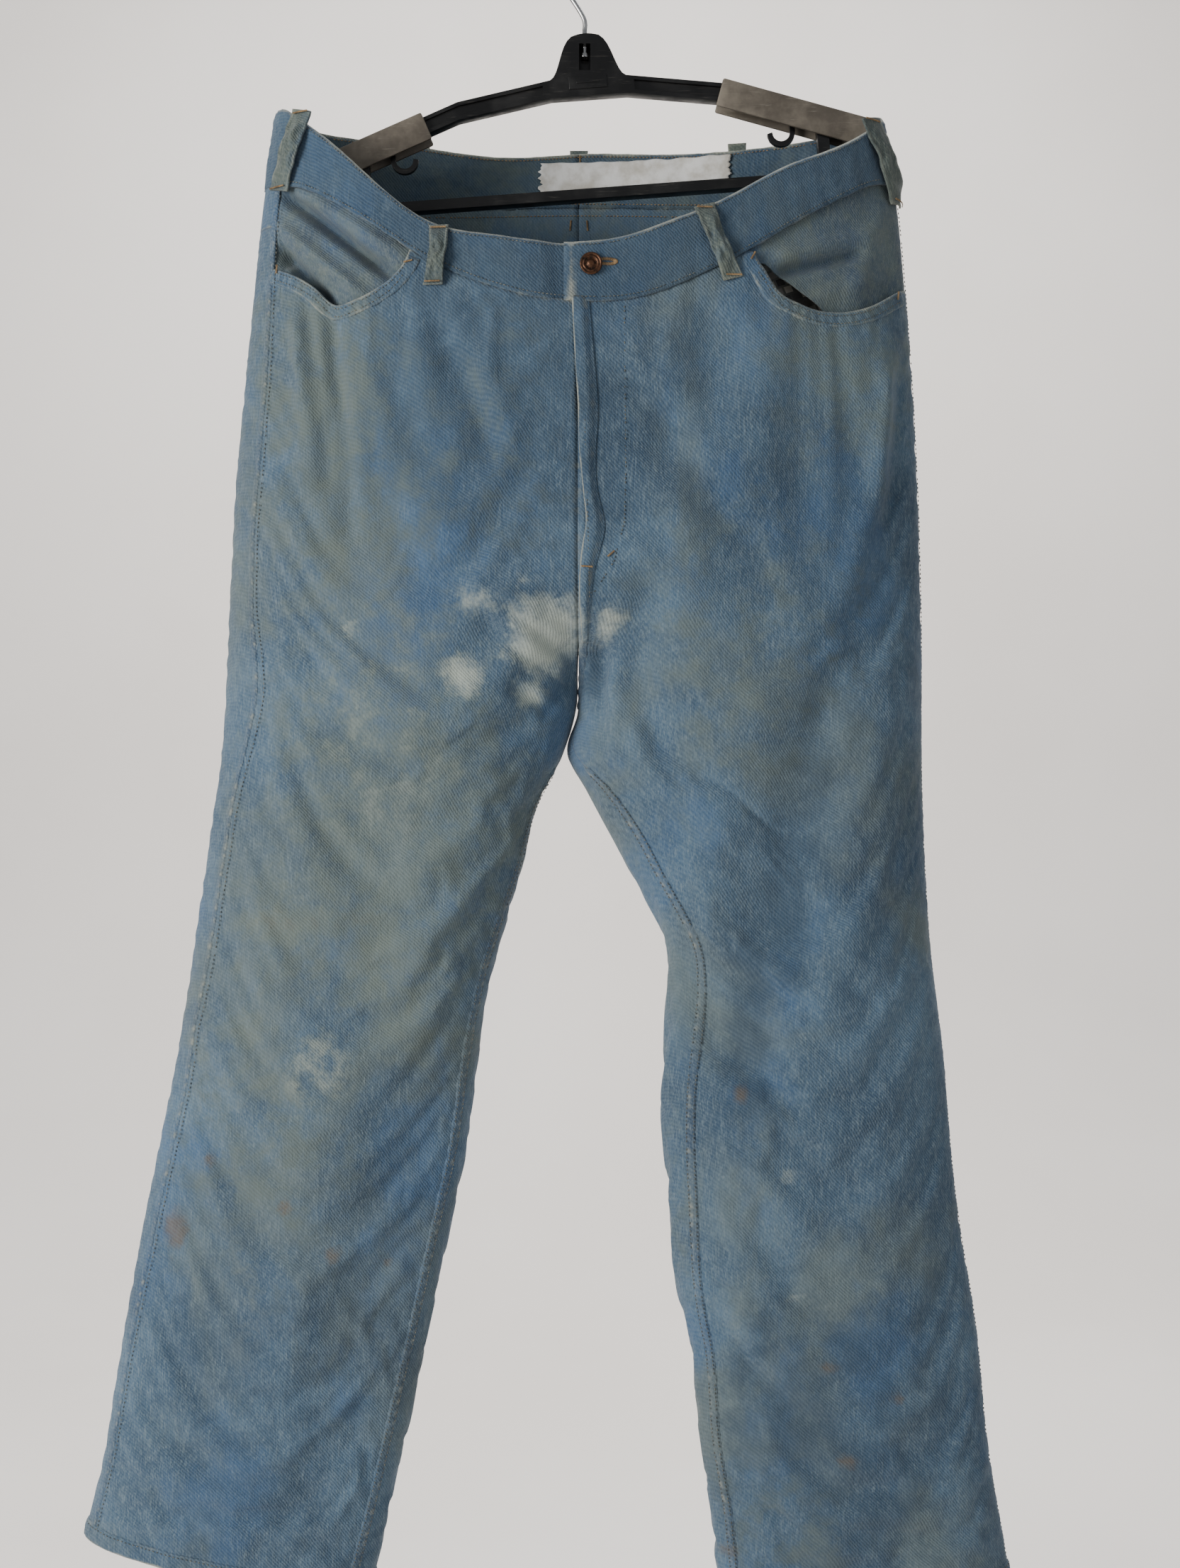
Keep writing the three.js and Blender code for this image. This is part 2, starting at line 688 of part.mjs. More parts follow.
addPart("back_pocket_left", backPocketPanel(BACK_POCKET.from, BACK_POCKET.to), denim);
addPart("back_pocket_right", backPocketPanel(-BACK_POCKET.to, -BACK_POCKET.from), denim);

const beltLoops = [
  { name: "front_right", angle: -25.8, lean: 0 },
  { name: "front_left", angle: 25.8, lean: 5 },
  { name: "side_right", angle: -66, lean: -4 },
  { name: "side_left", angle: 78, lean: 2 },
  { name: "back_right", angle: -148, lean: 0 },
  { name: "back_left", angle: 148, lean: 0 },
  { name: "back_centre", angle: 180, lean: 0 },
];

// A strap that stands off the band in its middle and lies close at both ends.
function makeBeltLoop({ angle, lean }) {
  const { x, y } = seatPoint(angle, bandBottom(angle));
  const near = seatPoint(angle + 1, bandBottom(angle));
  const perDegree = Math.hypot(near.x - x, near.y - y);
  const half = LOOP_WIDTH / 2 / perDegree;
  const top = bandTop(angle) + 1;
  const bottom = bandBottom(angle) - 4;
  const place = (u, v, depth) => {
    const middle = angle + lean * (v - 0.5);
    const proud = 0.5 + LOOP_THICK + LOOP_PROUD * Math.min(1, 5 * Math.min(v, 1 - v));
    return seatPoint(middle + u * half, lerp(top, bottom, v), depth - proud);
  };
  return sheetGeometry(place, [-1, 0, 1], [0, 0.1, 0.2, 0.5, 0.8, 0.9, 1], LOOP_THICK);
}

for (const loop of beltLoops) {
  addPart(`belt_loop_${loop.name}`, makeBeltLoop(loop), denim);
}

// ---------------------------------------------------------------------------
// Fly
// ---------------------------------------------------------------------------

const flyTop = bandBottom(0) - 4;
const flyBottom = flyTop - FLY_LENGTH;
const zipX = GARMENT_X + 6; // the zip lies a little under the flap's edge

// Each layer's depth behind the cloth's outer face.
const pullY = frontY + CLOTH + LAYER_GAP;
const frontPlateY = pullY + 1 + 0.4;
const teethY = frontPlateY + PLATE + 0.6;
const TEETH_DEPTH = 1.4;
const backPlateY = teethY + TEETH_DEPTH + 0.6;
const shieldDepth = backPlateY + PLATE + LAYER_GAP - frontY;

addPart(
  "fly_shield",
  seatPanel(-4, 9, () => flyTop, () => flyBottom, 2, { inset: () => shieldDepth }),
  denim,
);

// A row of teeth on a bead, the teeth pointing to the middle of the zip.
function makeTeeth(side) {
  const count = Math.floor((FLY_LENGTH - 8) / ZIP_PITCH);
  const tip = side * (ZIP_MIDDLE_GAP / 2);
  const root = side * (ZIP_MIDDLE_GAP / 2 + ZIP_TOOTH);
  const back = side * (ZIP_MIDDLE_GAP / 2 + ZIP_TOOTH + ZIP_BEAD);
  const outline = new THREE.Shape();
  outline.moveTo(back, 0);
  outline.lineTo(root, 0);
  for (let i = 0; i < count; i++) {
    const z = -(i + 0.5) * ZIP_PITCH;
    outline.lineTo(root, z + ZIP_PITCH / 4);
    outline.lineTo(tip, z + ZIP_PITCH / 4);
    outline.lineTo(tip, z - ZIP_PITCH / 4);
    outline.lineTo(root, z - ZIP_PITCH / 4);
  }
  outline.lineTo(root, -(count + 0.5) * ZIP_PITCH);
  outline.lineTo(back, -(count + 0.5) * ZIP_PITCH);
  return plate(outline, TEETH_DEPTH).translate(zipX, teethY + TEETH_DEPTH / 2, flyTop);
}

for (const [name, side] of [["right", -1], ["left", 1]]) {
  const tapeX = zipX + side * (ZIP_MIDDLE_GAP / 2 + ZIP_TOOTH + ZIP_BEAD + 0.3 + ZIP_TAPE_WIDTH / 2);
  addPart(`zip_teeth_${name}`, makeTeeth(side), brass);
  addPart(
    `zip_tape_${name}`,
    block(ZIP_TAPE_WIDTH, 0.8, FLY_LENGTH, tapeX, teethY + TEETH_DEPTH / 2, flyTop - FLY_LENGTH / 2),
    tape,
  );
}

// Two plates, before and behind the teeth, on a web that runs in the middle of the zip.
function makeSlider() {
  const z = flyTop - SLIDER_HEIGHT / 2;
  const depth = backPlateY + PLATE - frontPlateY;
  const middleY = frontPlateY + depth / 2;
  const front = block(SLIDER_WIDTH, PLATE, SLIDER_HEIGHT, zipX, frontPlateY + PLATE / 2, z);
  const back = block(SLIDER_WIDTH, PLATE, SLIDER_HEIGHT, zipX, backPlateY + PLATE / 2, z);
  const web = block(SLIDER_WEB, depth, SLIDER_HEIGHT - 4, zipX, middleY, z);
  return fromManifold(toManifold(front).add(toManifold(back)).add(toManifold(web)));
}

addPart("zip_slider", makeSlider(), brass);

// A flat tag with a hole near its end.
function makePullTab() {
  const half = PULL_WIDTH / 2;
  const tag = new THREE.Shape();
  tag.moveTo(-half + 1, 0);
  tag.lineTo(half - 1, 0);
  tag.lineTo(half, -PULL_LENGTH + half);
  tag.absarc(0, -PULL_LENGTH + half, half, 0, -Math.PI, true);
  tag.lineTo(-half + 1, 0);
  const hole = new THREE.Path().absarc(0, -PULL_LENGTH + half, half * 0.5, 0, 2 * Math.PI, false);
  tag.holes.push(hole);
  return plate(tag, 1, 6).translate(zipX, pullY + 0.5, flyTop - 2);
}

addPart("zip_pull_tab", makePullTab(), brass);

const stopWidth = ZIP_MIDDLE_GAP + 2 * ZIP_TOOTH + 2 * ZIP_BEAD;
addPart(
  "zip_bottom_stop",
  block(stopWidth, TEETH_DEPTH, 2.4, zipX, teethY + TEETH_DEPTH / 2, flyBottom - 1.8),
  brass,
);

// ---------------------------------------------------------------------------
// Legs
// ---------------------------------------------------------------------------

function makeLeg(name, side) {
  const length = LEG_LENGTH + LEG_EXTRA[name];
  const lean = Math.tan(degToRad(LEG_LEAN[name]));
  const hemZ = HIP_Z - length;
  const kneeZ = HIP_Z - length * 0.42;
  const topZ = HIP_Z - HIP_CUT_RADIUS * 0.8;

  // Width or half depth at a height, from the values at the thigh, knee and hem.
  const taper = (z, thigh, knee, hem) =>
    z > kneeZ
      ? lerp(knee, thigh, smoothstep(z, kneeZ, topZ))
      : lerp(hem, knee, smoothstep(z, hemZ, kneeZ));

  const middleX = (z) => GARMENT_X + side * (LEG_SPREAD + lean * (HIP_Z - z));

  const point = (angle, z, inset = 0) => {
    const halfWidth = taper(z, THIGH_WIDTH, KNEE_WIDTH, HEM_WIDTH) / 2;
    const halfDepth = taper(z, CROTCH_DEPTH, KNEE_DEPTH, HEM_DEPTH);
    const across = radiansSin(angle);
    const outward = new THREE.Vector2(across / halfWidth, -radiansCos(angle) / halfDepth);
    outward.normalize();
    return new THREE.Vector3(
      middleX(z) + halfWidth * across - outward.x * inset,
      -halfDepth * radiansCos(angle) - outward.y * inset,
      z,
    );
  };
  // The hem is square to the leg's middle line, so it rises towards the outside.
  const hemAt = (angle) => hemZ + side * lean * (HEM_WIDTH / 2) * radiansSin(angle);
  const topAt = (angle, inset) =>
    cutHeight(point, angle, inset, HIP_CUT_RADIUS + LEG_CLEARANCE);

  const panel = (from, to) => {
    const place = (angle, v, depth) =>
      point(angle, lerp(topAt(angle, depth), hemAt(angle), v), depth);
    return sheetGeometry(place, angleLines(from, to), evenLines(0, 1, 9), CLOTH);
  };
  const { from, to } = LEG_SEAMS[name];
  addPart(`leg_front_${name}`, panel(from + SEAM_GAP, to - SEAM_GAP), denim);
  addPart(`leg_back_${name}`, panel(to, from + 360), denim);

  const hemPlace = (angle, v, depth) =>
    point(angle, hemAt(angle) + v * HEM_FOLD, CLOTH + LAYER_GAP + depth);
  const round = evenLines(0, 360, 36).slice(0, -1);
  addPart(`hem_${name}`, sheetGeometry(hemPlace, round, [0, 1], CLOTH, true), denim);
}

makeLeg("right", -1);
makeLeg("left", 1);

export default trousersAndHanger;
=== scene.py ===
# %% [markdown]
# # Work trousers on a hanger
# The CAD model says where everything is and what moves. This lesson dresses it: each cloth part
# of the trousers is cut flat and hung, and the hanger gets its moulded edges. Units are metres,
# the front faces -Y, and the wearer's left side is at +X.

# %% Load the frame
import json
import math

import bmesh
import bpy
import numpy as np
from mathutils import Matrix, Vector, noise


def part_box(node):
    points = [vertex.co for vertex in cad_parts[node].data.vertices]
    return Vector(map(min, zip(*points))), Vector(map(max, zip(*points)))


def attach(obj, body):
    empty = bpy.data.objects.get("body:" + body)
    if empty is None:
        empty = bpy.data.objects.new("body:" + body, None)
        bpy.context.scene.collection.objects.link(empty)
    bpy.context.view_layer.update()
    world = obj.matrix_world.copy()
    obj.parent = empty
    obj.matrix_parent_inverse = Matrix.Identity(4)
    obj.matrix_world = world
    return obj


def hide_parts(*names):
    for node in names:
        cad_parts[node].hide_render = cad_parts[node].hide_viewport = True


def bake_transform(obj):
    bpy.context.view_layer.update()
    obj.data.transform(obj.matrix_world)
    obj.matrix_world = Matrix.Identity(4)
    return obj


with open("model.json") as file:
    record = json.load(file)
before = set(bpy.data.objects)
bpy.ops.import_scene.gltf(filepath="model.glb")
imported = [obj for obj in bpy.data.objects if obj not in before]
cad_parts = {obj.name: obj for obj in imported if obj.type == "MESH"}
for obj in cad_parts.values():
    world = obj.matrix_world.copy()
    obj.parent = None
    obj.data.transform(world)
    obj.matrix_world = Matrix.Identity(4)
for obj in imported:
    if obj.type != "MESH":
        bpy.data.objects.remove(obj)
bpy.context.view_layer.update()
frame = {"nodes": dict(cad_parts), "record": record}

MM = 0.001
SEAT = "hanger_and_seat"

# %% [markdown]
# ## Places that the frame gives
# The garment hangs from the waistband's sides. The hip joints say where seat turns into legs,
# so the form changes from seat to legs in a zone around them.

# %% Read the places
joints = {joint["name"]: joint for joint in frame["record"]["behaviour"]["joints"]}
hip = joints["leg_right_swing"]["pos_m"]
middle_x = hip[0]
hip_z = hip[2]
waist_side_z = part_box("waistband_right")[1][2]
front_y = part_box("front_panel_left")[0][1]
back_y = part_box("back_panel_left")[1][1]
print("hip joint", hip, "waist side", waist_side_z, "front and back", front_y, back_y)

# %% [markdown]
# ## Camera, light and room
# A long room with one seamless sheet for floor and wall keeps the light soft. The camera is level
# with the middle of the garment. A big soft lamp stands up and to the left, as a window would.

# %% Camera
CAMERA_DISTANCE = 1.3
VIEW_HEIGHT = 1.239  # what the picture takes in, top to bottom, at the garment
view_middle = Vector((0.0042, 0, -0.657))

camera_data = bpy.data.cameras.new("studio_camera")
camera = bpy.data.objects.new("studio_camera", camera_data)
bpy.context.collection.objects.link(camera)
camera.location = view_middle + Vector((0, -CAMERA_DISTANCE, 0))
camera.rotation_euler = (math.radians(90), 0, 0)
camera_data.sensor_width = 36
camera_data.lens = 18 / (VIEW_HEIGHT / 2 / CAMERA_DISTANCE)
camera_data.clip_start = 0.05
bpy.context.scene.camera = camera


# %% [markdown]
# ## Lamps
# The window lamp is the key. Two weak lamps open up the shadows at the front and the back, and
# a long one washes the wall.

# %% Lamps
def soft_lamp(name, place, target, size, power, colour=(1, 1, 1)):
    data = bpy.data.lights.new(name, "AREA")
    data.shape = "RECTANGLE"
    data.size, data.size_y = size
    data.energy = power
    data.color = colour
    lamp = bpy.data.objects.new(name, data)
    bpy.context.collection.objects.link(lamp)
    lamp.location = place
    towards = Vector(target) - Vector(place)
    lamp.rotation_euler = towards.to_track_quat("-Z", "Y").to_euler()
    return lamp


garment_middle = (0, 0, -0.6)
soft_lamp("window_light", (-1.75, -1.25, -0.35), (0, 0, -0.8), (0.9, 1.3), 66, (1.0, 0.98, 0.95))
soft_lamp("room_fill", (1.8, -2.2, -0.4), garment_middle, (2.0, 2.0), 10, (0.95, 0.97, 1.0))
soft_lamp("back_fill", (1.0, 2.0, 0.6), garment_middle, (1.5, 1.5), 26)
soft_lamp("wall_light", (0, 0.9, 1.7), (0, 3.0, -0.9), (3.0, 0.8), 116)

world = bpy.data.worlds.new("room_light")
world.use_nodes = True
world.node_tree.nodes["Background"].inputs["Color"].default_value = (0.9, 0.92, 0.95, 1)
world.node_tree.nodes["Background"].inputs["Strength"].default_value = 0.45
bpy.context.scene.world = world


# %% [markdown]
# ## Small tools for node materials
# Every finish below is a graph of noise and colour nodes. These helpers keep each one short.

# %% Node tools
class Finish:
    """A node material under construction."""

    def __init__(self, name):
        self.material = bpy.data.materials.new(name)
        self.material.use_nodes = True
        self.tree = self.material.node_tree
        self.shader = self.tree.nodes["Principled BSDF"]

    def node(self, kind, **settings):
        made = self.tree.nodes.new(kind)
        for key, value in settings.items():
            setattr(made, key, value)
        return made

    def link(self, source, target):
        self.tree.links.new(source, target)

    def place(self, scale=(1, 1, 1), turn=(0, 0, 0)):
        coordinates = self.node("ShaderNodeTexCoord")
        mapping = self.node("ShaderNodeMapping")
        mapping.inputs["Scale"].default_value = scale
        mapping.inputs["Rotation"].default_value = turn
        self.link(coordinates.outputs["Object"], mapping.inputs["Vector"])
        return mapping.outputs["Vector"]

    def noise(self, vector, scale, detail=4.0, rough=0.6):
        made = self.node("ShaderNodeTexNoise")
        made.inputs["Scale"].default_value = scale
        made.inputs["Detail"].default_value = detail
        made.inputs["Roughness"].default_value = rough
        self.link(vector, made.inputs["Vector"])
        return made.outputs["Fac"]

    def span(self, value, low, high, to_low=0.0, to_high=1.0):
        made = self.node("ShaderNodeMapRange", interpolation_type="SMOOTHSTEP")
        for key, number in (("From Min", low), ("From Max", high), ("To Min", to_low), ("To Max", to_high)):
            made.inputs[key].default_value = number
        self.link(value, made.inputs["Value"])
        return made.outputs["Result"]

    def sum(self, first, second, kind="ADD"):
        made = self.node("ShaderNodeMath", operation=kind)
        for socket, value in zip(made.inputs, (first, second)):
            if isinstance(value, (int, float)):
                socket.default_value = value
            else:
                self.link(value, socket)
        return made.outputs[0]

    def mix(self, share, first, second, blend="MIX"):
        made = self.node("ShaderNodeMix", data_type="RGBA", blend_type=blend)
        for socket, value in ((made.inputs[0], share), (made.inputs[6], first), (made.inputs[7], second)):
            if isinstance(value, (int, float)):
                socket.default_value = value
            elif isinstance(value, tuple):
                socket.default_value = (*value, 1)
            else:
                self.link(value, socket)
        return made.outputs[2]

    def attribute(self, name):
        return self.node("ShaderNodeAttribute", attribute_name=name)

    def colour(self, value):
        self.link(value, self.shader.inputs["Base Color"])

    def bump(self, height, distance, strength=1.0):
        made = self.node("ShaderNodeBump")
        made.inputs["Distance"].default_value = distance
        made.inputs["Strength"].default_value = strength
        self.link(height, made.inputs["Height"])
        self.link(made.outputs["Normal"], self.shader.inputs["Normal"])


def linear(red, green, blue):
    """A colour as paint charts give it, 0 to 255, as the linear light that nodes use."""
    return tuple((c / 255 / 12.92) if c <= 10 else ((c / 255 + 0.055) / 1.055) ** 2.4 for c in (red, green, blue))


# %% [markdown]
# ## The room's sheet
# A plane is stretched, its far edge pulled up into a wall, and the corner rounded by a bevel.

# %% Floor and wall
def select_only(obj):
    if bpy.context.mode != "OBJECT":
        bpy.ops.object.mode_set(mode="OBJECT")
    bpy.ops.object.select_all(action="DESELECT")
    obj.select_set(True)
    bpy.context.view_layer.objects.active = obj


def edit(obj, kind="EDGE"):
    select_only(obj)
    bpy.ops.object.mode_set(mode="EDIT")
    bpy.ops.mesh.select_mode(type=kind)
    bpy.ops.mesh.select_all(action="DESELECT")
    return bmesh.from_edit_mesh(obj.data)


FLOOR_Z = -1.75
bpy.ops.object.select_all(action="DESELECT")
bpy.ops.mesh.primitive_plane_add(size=1, location=(0, 0, 0))
room_sheet = bpy.context.object
room_sheet.name = "room_sheet"
room_sheet.data.transform(Matrix.Translation((0, -5.4, FLOOR_Z)) @ Matrix.Diagonal((40, 17, 1, 1)))
mesh = edit(room_sheet)
for edge in mesh.edges:
    edge.select = all(v.co.y > 0 for v in edge.verts)
bpy.ops.mesh.extrude_region_move(TRANSFORM_OT_translate={"value": (0, 0, 5)})
mesh = edit(room_sheet)
for edge in mesh.edges:
    edge.select = all(v.co.y > 0 and v.co.z < FLOOR_Z + 0.1 for v in edge.verts)
bpy.ops.mesh.bevel(offset=1.2, segments=16)
bpy.ops.object.mode_set(mode="OBJECT")
bpy.ops.object.shade_smooth()
room_finish = Finish("pale_room_sheet")
wide = room_finish.place()
cloudy = room_finish.span(room_finish.noise(wide, 0.8), 0.3, 0.7)
room_finish.colour(room_finish.mix(cloudy, linear(229, 223, 217), linear(236, 231, 226)))
room_finish.shader.inputs["Roughness"].default_value = 0.95
room_sheet.data.materials.append(room_finish.material)

# %% [markdown]
# ## Lines of the garment
# A tailor's drawing is a few curves: the two side edges, the two inner edges, the waist's top
# and seam, and the pocket mouths. Each is a handful of points with a smooth line through them.


# %% Smooth lines
def smooth_line(points):
    """A function through points (place, value), smooth between them and level beyond them."""
    places, values = (np.array(column, float) for column in zip(*sorted(points)))
    slopes = np.gradient(values, places)

    def at(place):
        place = np.clip(place, places[0], places[-1])
        i = np.clip(np.searchsorted(places, place) - 1, 0, len(places) - 2)
        width = places[i + 1] - places[i]
        t = (place - places[i]) / width
        a, b = values[i], values[i + 1]
        ma, mb = slopes[i] * width, slopes[i + 1] * width
        return (
            (2 * t**3 - 3 * t**2 + 1) * a
            + (t**3 - 2 * t**2 + t) * ma
            + (3 * t**2 - 2 * t**3) * b
            + (t**3 - t**2) * mb
        )

    return at


def ease(value, low, high):
    t = np.clip((value - low) / (high - low), 0, 1)
    return t * t * (3 - 2 * t)


def millimetres(*points):
    return [(a * MM, b * MM) for a, b in points]


# Heights first, then how far each edge lies from the hook's line.
outer_edge = {
    "right": smooth_line(millimetres(
        (-130, -243), (-192, -252), (-318, -265), (-420, -275), (-542, -282), (-626, -286), (-693, -295),
        (-878, -323), (-990, -346), (-1105, -366), (-1180, -378), (-1247, -394), (-1300, -404))),
    "left": smooth_line(millimetres(
        (-130, 234), (-196, 246), (-270, 253), (-433, 263), (-542, 266), (-640, 266), (-783, 273),
        (-878, 284), (-979, 293), (-1096, 310), (-1169, 317), (-1277, 335), (-1320, 341))),
}
inner_edge = {
    "right": smooth_line(millimetres(
        (-130, -5), (-480, -5), (-560, -5), (-600, -7), (-633, -17), (-674, -38), (-716, -48), (-763, -62),
        (-800, -72), (-878, -85), (-934, -92), (-990, -103), (-1096, -125), (-1220, -152), (-1300, -170))),
    "left": smooth_line(millimetres(
        (-130, -5), (-480, -5), (-560, -5), (-600, -5.5), (-633, -13), (-662, 3), (-721, 34), (-786, 65),
        (-811, 65), (-850, 62), (-903, 60), (-996, 66), (-1057, 74), (-1102, 84), (-1169, 90), (-1220, 98),
        (-1320, 108))),
}
half_depth_front = smooth_line(millimetres(
    (-130, 62), (-250, 65), (-470, 65), (-512, 64.8), (-600, 54), (-860, 43), (-1300, 37)))
half_depth_back = smooth_line(millimetres((-130, 65), (-250, 66), (-470, 66), (-600, 54), (-860, 43), (-1300, 37)))

# Across first, then the height.
band_top_front = smooth_line(millimetres(
    (-248, -130), (-234, -131), (-222, -141), (-201, -159), (-115, -233), (-66, -244), (-11, -250), (30, -245),
    (71, -230), (91, -222), (146, -191), (223, -147), (236, -134), (248, -132)))
band_seam_front = smooth_line(millimetres(
    (-255, -188), (-221, -196), (-172, -224), (-122, -258), (-87, -275), (-44, -289), (-5, -293.5),
    (42, -290), (102, -265), (185, -214), (230, -190), (252, -186)))
band_top_back = smooth_line(millimetres((-250, -130), (-150, -132), (-60, -138), (0, -134), (80, -136), (250, -130)))
band_seam_back = smooth_line(millimetres((-260, -187), (-150, -184), (0, -179), (150, -184), (260, -187)))
yoke_seam_back = smooth_line(millimetres((-260, -222), (-130, -236), (-5, -262), (130, -236), (260, -222)))
pocket_mouth = {
    "right": smooth_line(millimetres(
        (-260, -252), (-241, -258), (-208, -276), (-190, -292), (-174, -289), (-156, -281), (-142, -270),
        (-136, -262), (-131, -250))),
    "left": smooth_line(millimetres(
        (125, -246), (129, -258), (136, -268), (144, -281), (164, -293), (191, -297), (219, -290),
        (247, -272), (260, -264))),
}
POCKET_INNER = {"right": -131 * MM, "left": 125 * MM}

# Where the side seam and the inside-leg seam run, in quarters of the way round a half.
side_seam = {
    "right": smooth_line([(-0.13, 0.2), (-0.54, 0.24), (-0.64, 0.18), (-0.8, 0.17), (-0.99, 0.14), (-1.3, 0.11)]),
    "left": smooth_line([(-0.13, -0.04), (-0.54, -0.04), (-0.8, -0.05), (-1.3, -0.05)]),
}
HEM = {  # height of the hem at the leg's outer edge and its inner edge
    "right": ((-394 * MM, -1247 * MM), (-166 * MM, -1289 * MM)),
    "left": ((339 * MM, -1281 * MM), (108 * MM, -1310 * MM)),
}
LEG_STARTS = hip_z + 46 * MM
LEG_WHOLE = hip_z - 45 * MM


def hem_height(side, x):
    (outer_x, outer_z), (inner_x, inner_z) = HEM[side]
    share = np.clip((x - outer_x) / (inner_x - outer_x), -0.1, 1.1)
    return outer_z + share * (inner_z - outer_z)


# %% [markdown]
# ## The hung form
# Above the crotch a half of the garment is a quarter round at the front and one at the back.
# Below it each leg is a whole round. One number q goes round a half: 0 at the outer edge,
# 1 at the centre front or inside leg, and -1 at the centre back. The two shapes blend into each
# other on the way down, which also draws the curved crotch seam.


# %% Bare form
def leg_share(z):
    return 1 - ease(z, LEG_WHOLE, LEG_STARTS)


def bare_form(side, q, z):
    leg = leg_share(z)
    outer, inner = outer_edge[side](z), inner_edge[side](z)
    share = (1 - leg) * (1 - np.cos(q * np.pi / 2)) + leg * (1 - np.cos(q * np.pi)) / 2
    forward = (1 - leg) * np.sin(q * np.pi / 2) + leg * np.sin(q * np.pi)
    depth = np.where(forward > 0, half_depth_front(z), half_depth_back(z))
    return outer + (inner - outer) * share, -depth * forward


# %% [markdown]
# ## Folds
# Hung cloth is never smooth. A long fold is a soft ridge along a line, with its height fading
# towards both ends. Slow noise gives the gentle rolls between the folds, and quick noise the
# small creases of cloth that has been washed and worn.

# %% Fold lines: (start, end, width, height), all across and up in millimetres
front_folds = [
    ((-214, -286), (-206, -345), 4, -3.5), ((-206, -345), (-196, -430), 5, -3.0),
    ((-222, -300), (-216, -360), 4, 2.5),
    ((-64, -520), (-16, -556), 4, -3.6), ((-50, -548), (-14, -572), 3.5, 3.0), ((-52, -566), (-15, -590), 3.5, -3.6),
    ((10, -548), (14, -600), 5, -4.5), ((24, -540), (22, -620), 6, 3.5), ((38, -560), (60, -640), 8, -3.0),
    ((-116, -300), (-62, -420), 9, -4.5), ((-100, -300), (-44, -400), 10, 3.0),
    ((-196, -300), (-184, -385), 5, -3.5), ((-184, -385), (-180, -470), 7, -2.5),
    ((-150, -330), (-118, -420), 10, -3.0), ((-215, -290), (-205, -420), 9, 2.5),
    ((-170, -420), (-60, -560), 20, -4.0), ((-130, -430), (-30, -545), 14, 3.5),
    ((-250, -420), (-120, -640), 24, 3.5), ((-90, -500), (-22, -560), 8, 3.0),
    ((-80, -530), (-20, -572), 6, -3.2), ((-66, -552), (-22, -588), 5, 3.0),
    ((-58, -575), (-24, -604), 4, -2.6), ((-15, -500), (-9, -585), 5, -2.6),
    ((110, -300), (60, -420), 16, -3.0), ((150, -330), (60, -470), 18, 3.0),
    ((235, -330), (224, -440), 6, 5.0), ((224, -440), (196, -520), 10, 3.5), ((246, -330), (240, -460), 7, -4.0),
    ((200, -520), (90, -640), 22, 3.0), ((60, -500), (14, -575), 12, -4.0), ((40, -540), (12, -600), 6, 3.0),
    ((190, -560), (138, -800), 26, -9.0), ((138, -800), (112, -880), 20, -7.0), ((232, -560), (190, -800), 24, 5.0),
    ((104, -640), (92, -790), 20, 6.0), ((190, -800), (120, -960), 20, 4.0), ((74, -770), (98, -860), 10, -4.0),
    ((110, -880), (130, -1100), 18, 3.5), ((200, -900), (180, -1150), 22, -4.0),
    ((262, -880), (290, -1150), 16, -3.5),
    ((-220, -640), (-250, -900), 26, 3.5), ((-160, -660), (-170, -860), 22, -4.0),
    ((-110, -700), (-120, -860), 14, 3.0),
    ((-250, -900), (-300, -1180), 24, -3.5), ((-200, -860), (-230, -1120), 20, 3.5),
    ((-130, -900), (-190, -1180), 18, -3.0),
    ((-300, -860), (-240, -800), 14, 2.5), ((-100, -800), (-150, -770), 9, 2.2), ((250, -820), (180, -760), 14, 3.0),
]
back_folds = [
    ((-170, -300), (-60, -520), 20, 4.0), ((170, -300), (60, -520), 20, 4.0), ((-90, -470), (-20, -570), 10, -4.0),
    ((90, -470), (20, -570), 10, -4.0), ((-230, -420), (-140, -640), 22, -4.0), ((230, -420), (150, -640), 22, -4.0),
    ((-180, -640), (-230, -900), 24, 4.0), ((180, -640), (170, -900), 24, 4.0),
    ((-120, -700), (-160, -1000), 16, -3.5),
    ((110, -700), (120, -1000), 16, -3.5), ((-280, -900), (-330, -1200), 18, 3.5),
    ((230, -900), (270, -1200), 18, 3.5),
    ((-230, -860), (-130, -820), 10, 2.5), ((220, -860), (120, -830), 10, 2.5),
]


FOLD_STRENGTH = 1.3  # how much taller than its listed height each fold stands


def fold_heights(folds, x, z):
    total = np.zeros_like(x)
    for (x1, z1), (x2, z2), width, height in folds:
        along = np.array([x2 - x1, z2 - z1]) * MM
        length = np.hypot(*along)
        along = along / length
        dx, dz = x - x1 * MM, z - z1 * MM
        t = (dx * along[0] + dz * along[1]) / length
        off = (dx * along[1] - dz * along[0]) / (width * MM)
        fade = np.exp(-np.clip(np.abs(t - 0.5) - 0.32, 0, None) ** 2 / 0.035)
        total += FOLD_STRENGTH * height * MM * np.exp(-(off**2) / 2) * fade
    return total


def rolls(x, y, z):
    """Slow rolls and quick creases, in metres, from noise that is the same on every run."""
    total = np.empty_like(x)
    for i, (px, py, pz) in enumerate(zip(x, y, z)):
        slow = noise.noise(Vector((px * 13, py * 13 + 3, pz * 5)))
        middle = noise.noise(Vector((px * 34 + 7, py * 34, pz * 17)))
        quick = noise.noise(Vector((px * 90, py * 90 + 11, pz * 52)))
        total[i] = slow * 3.4 + middle * 1.5 + quick * 0.55
    return total * MM


def near(value, line, width):
    return np.exp(-(((value - line) / width) ** 2))


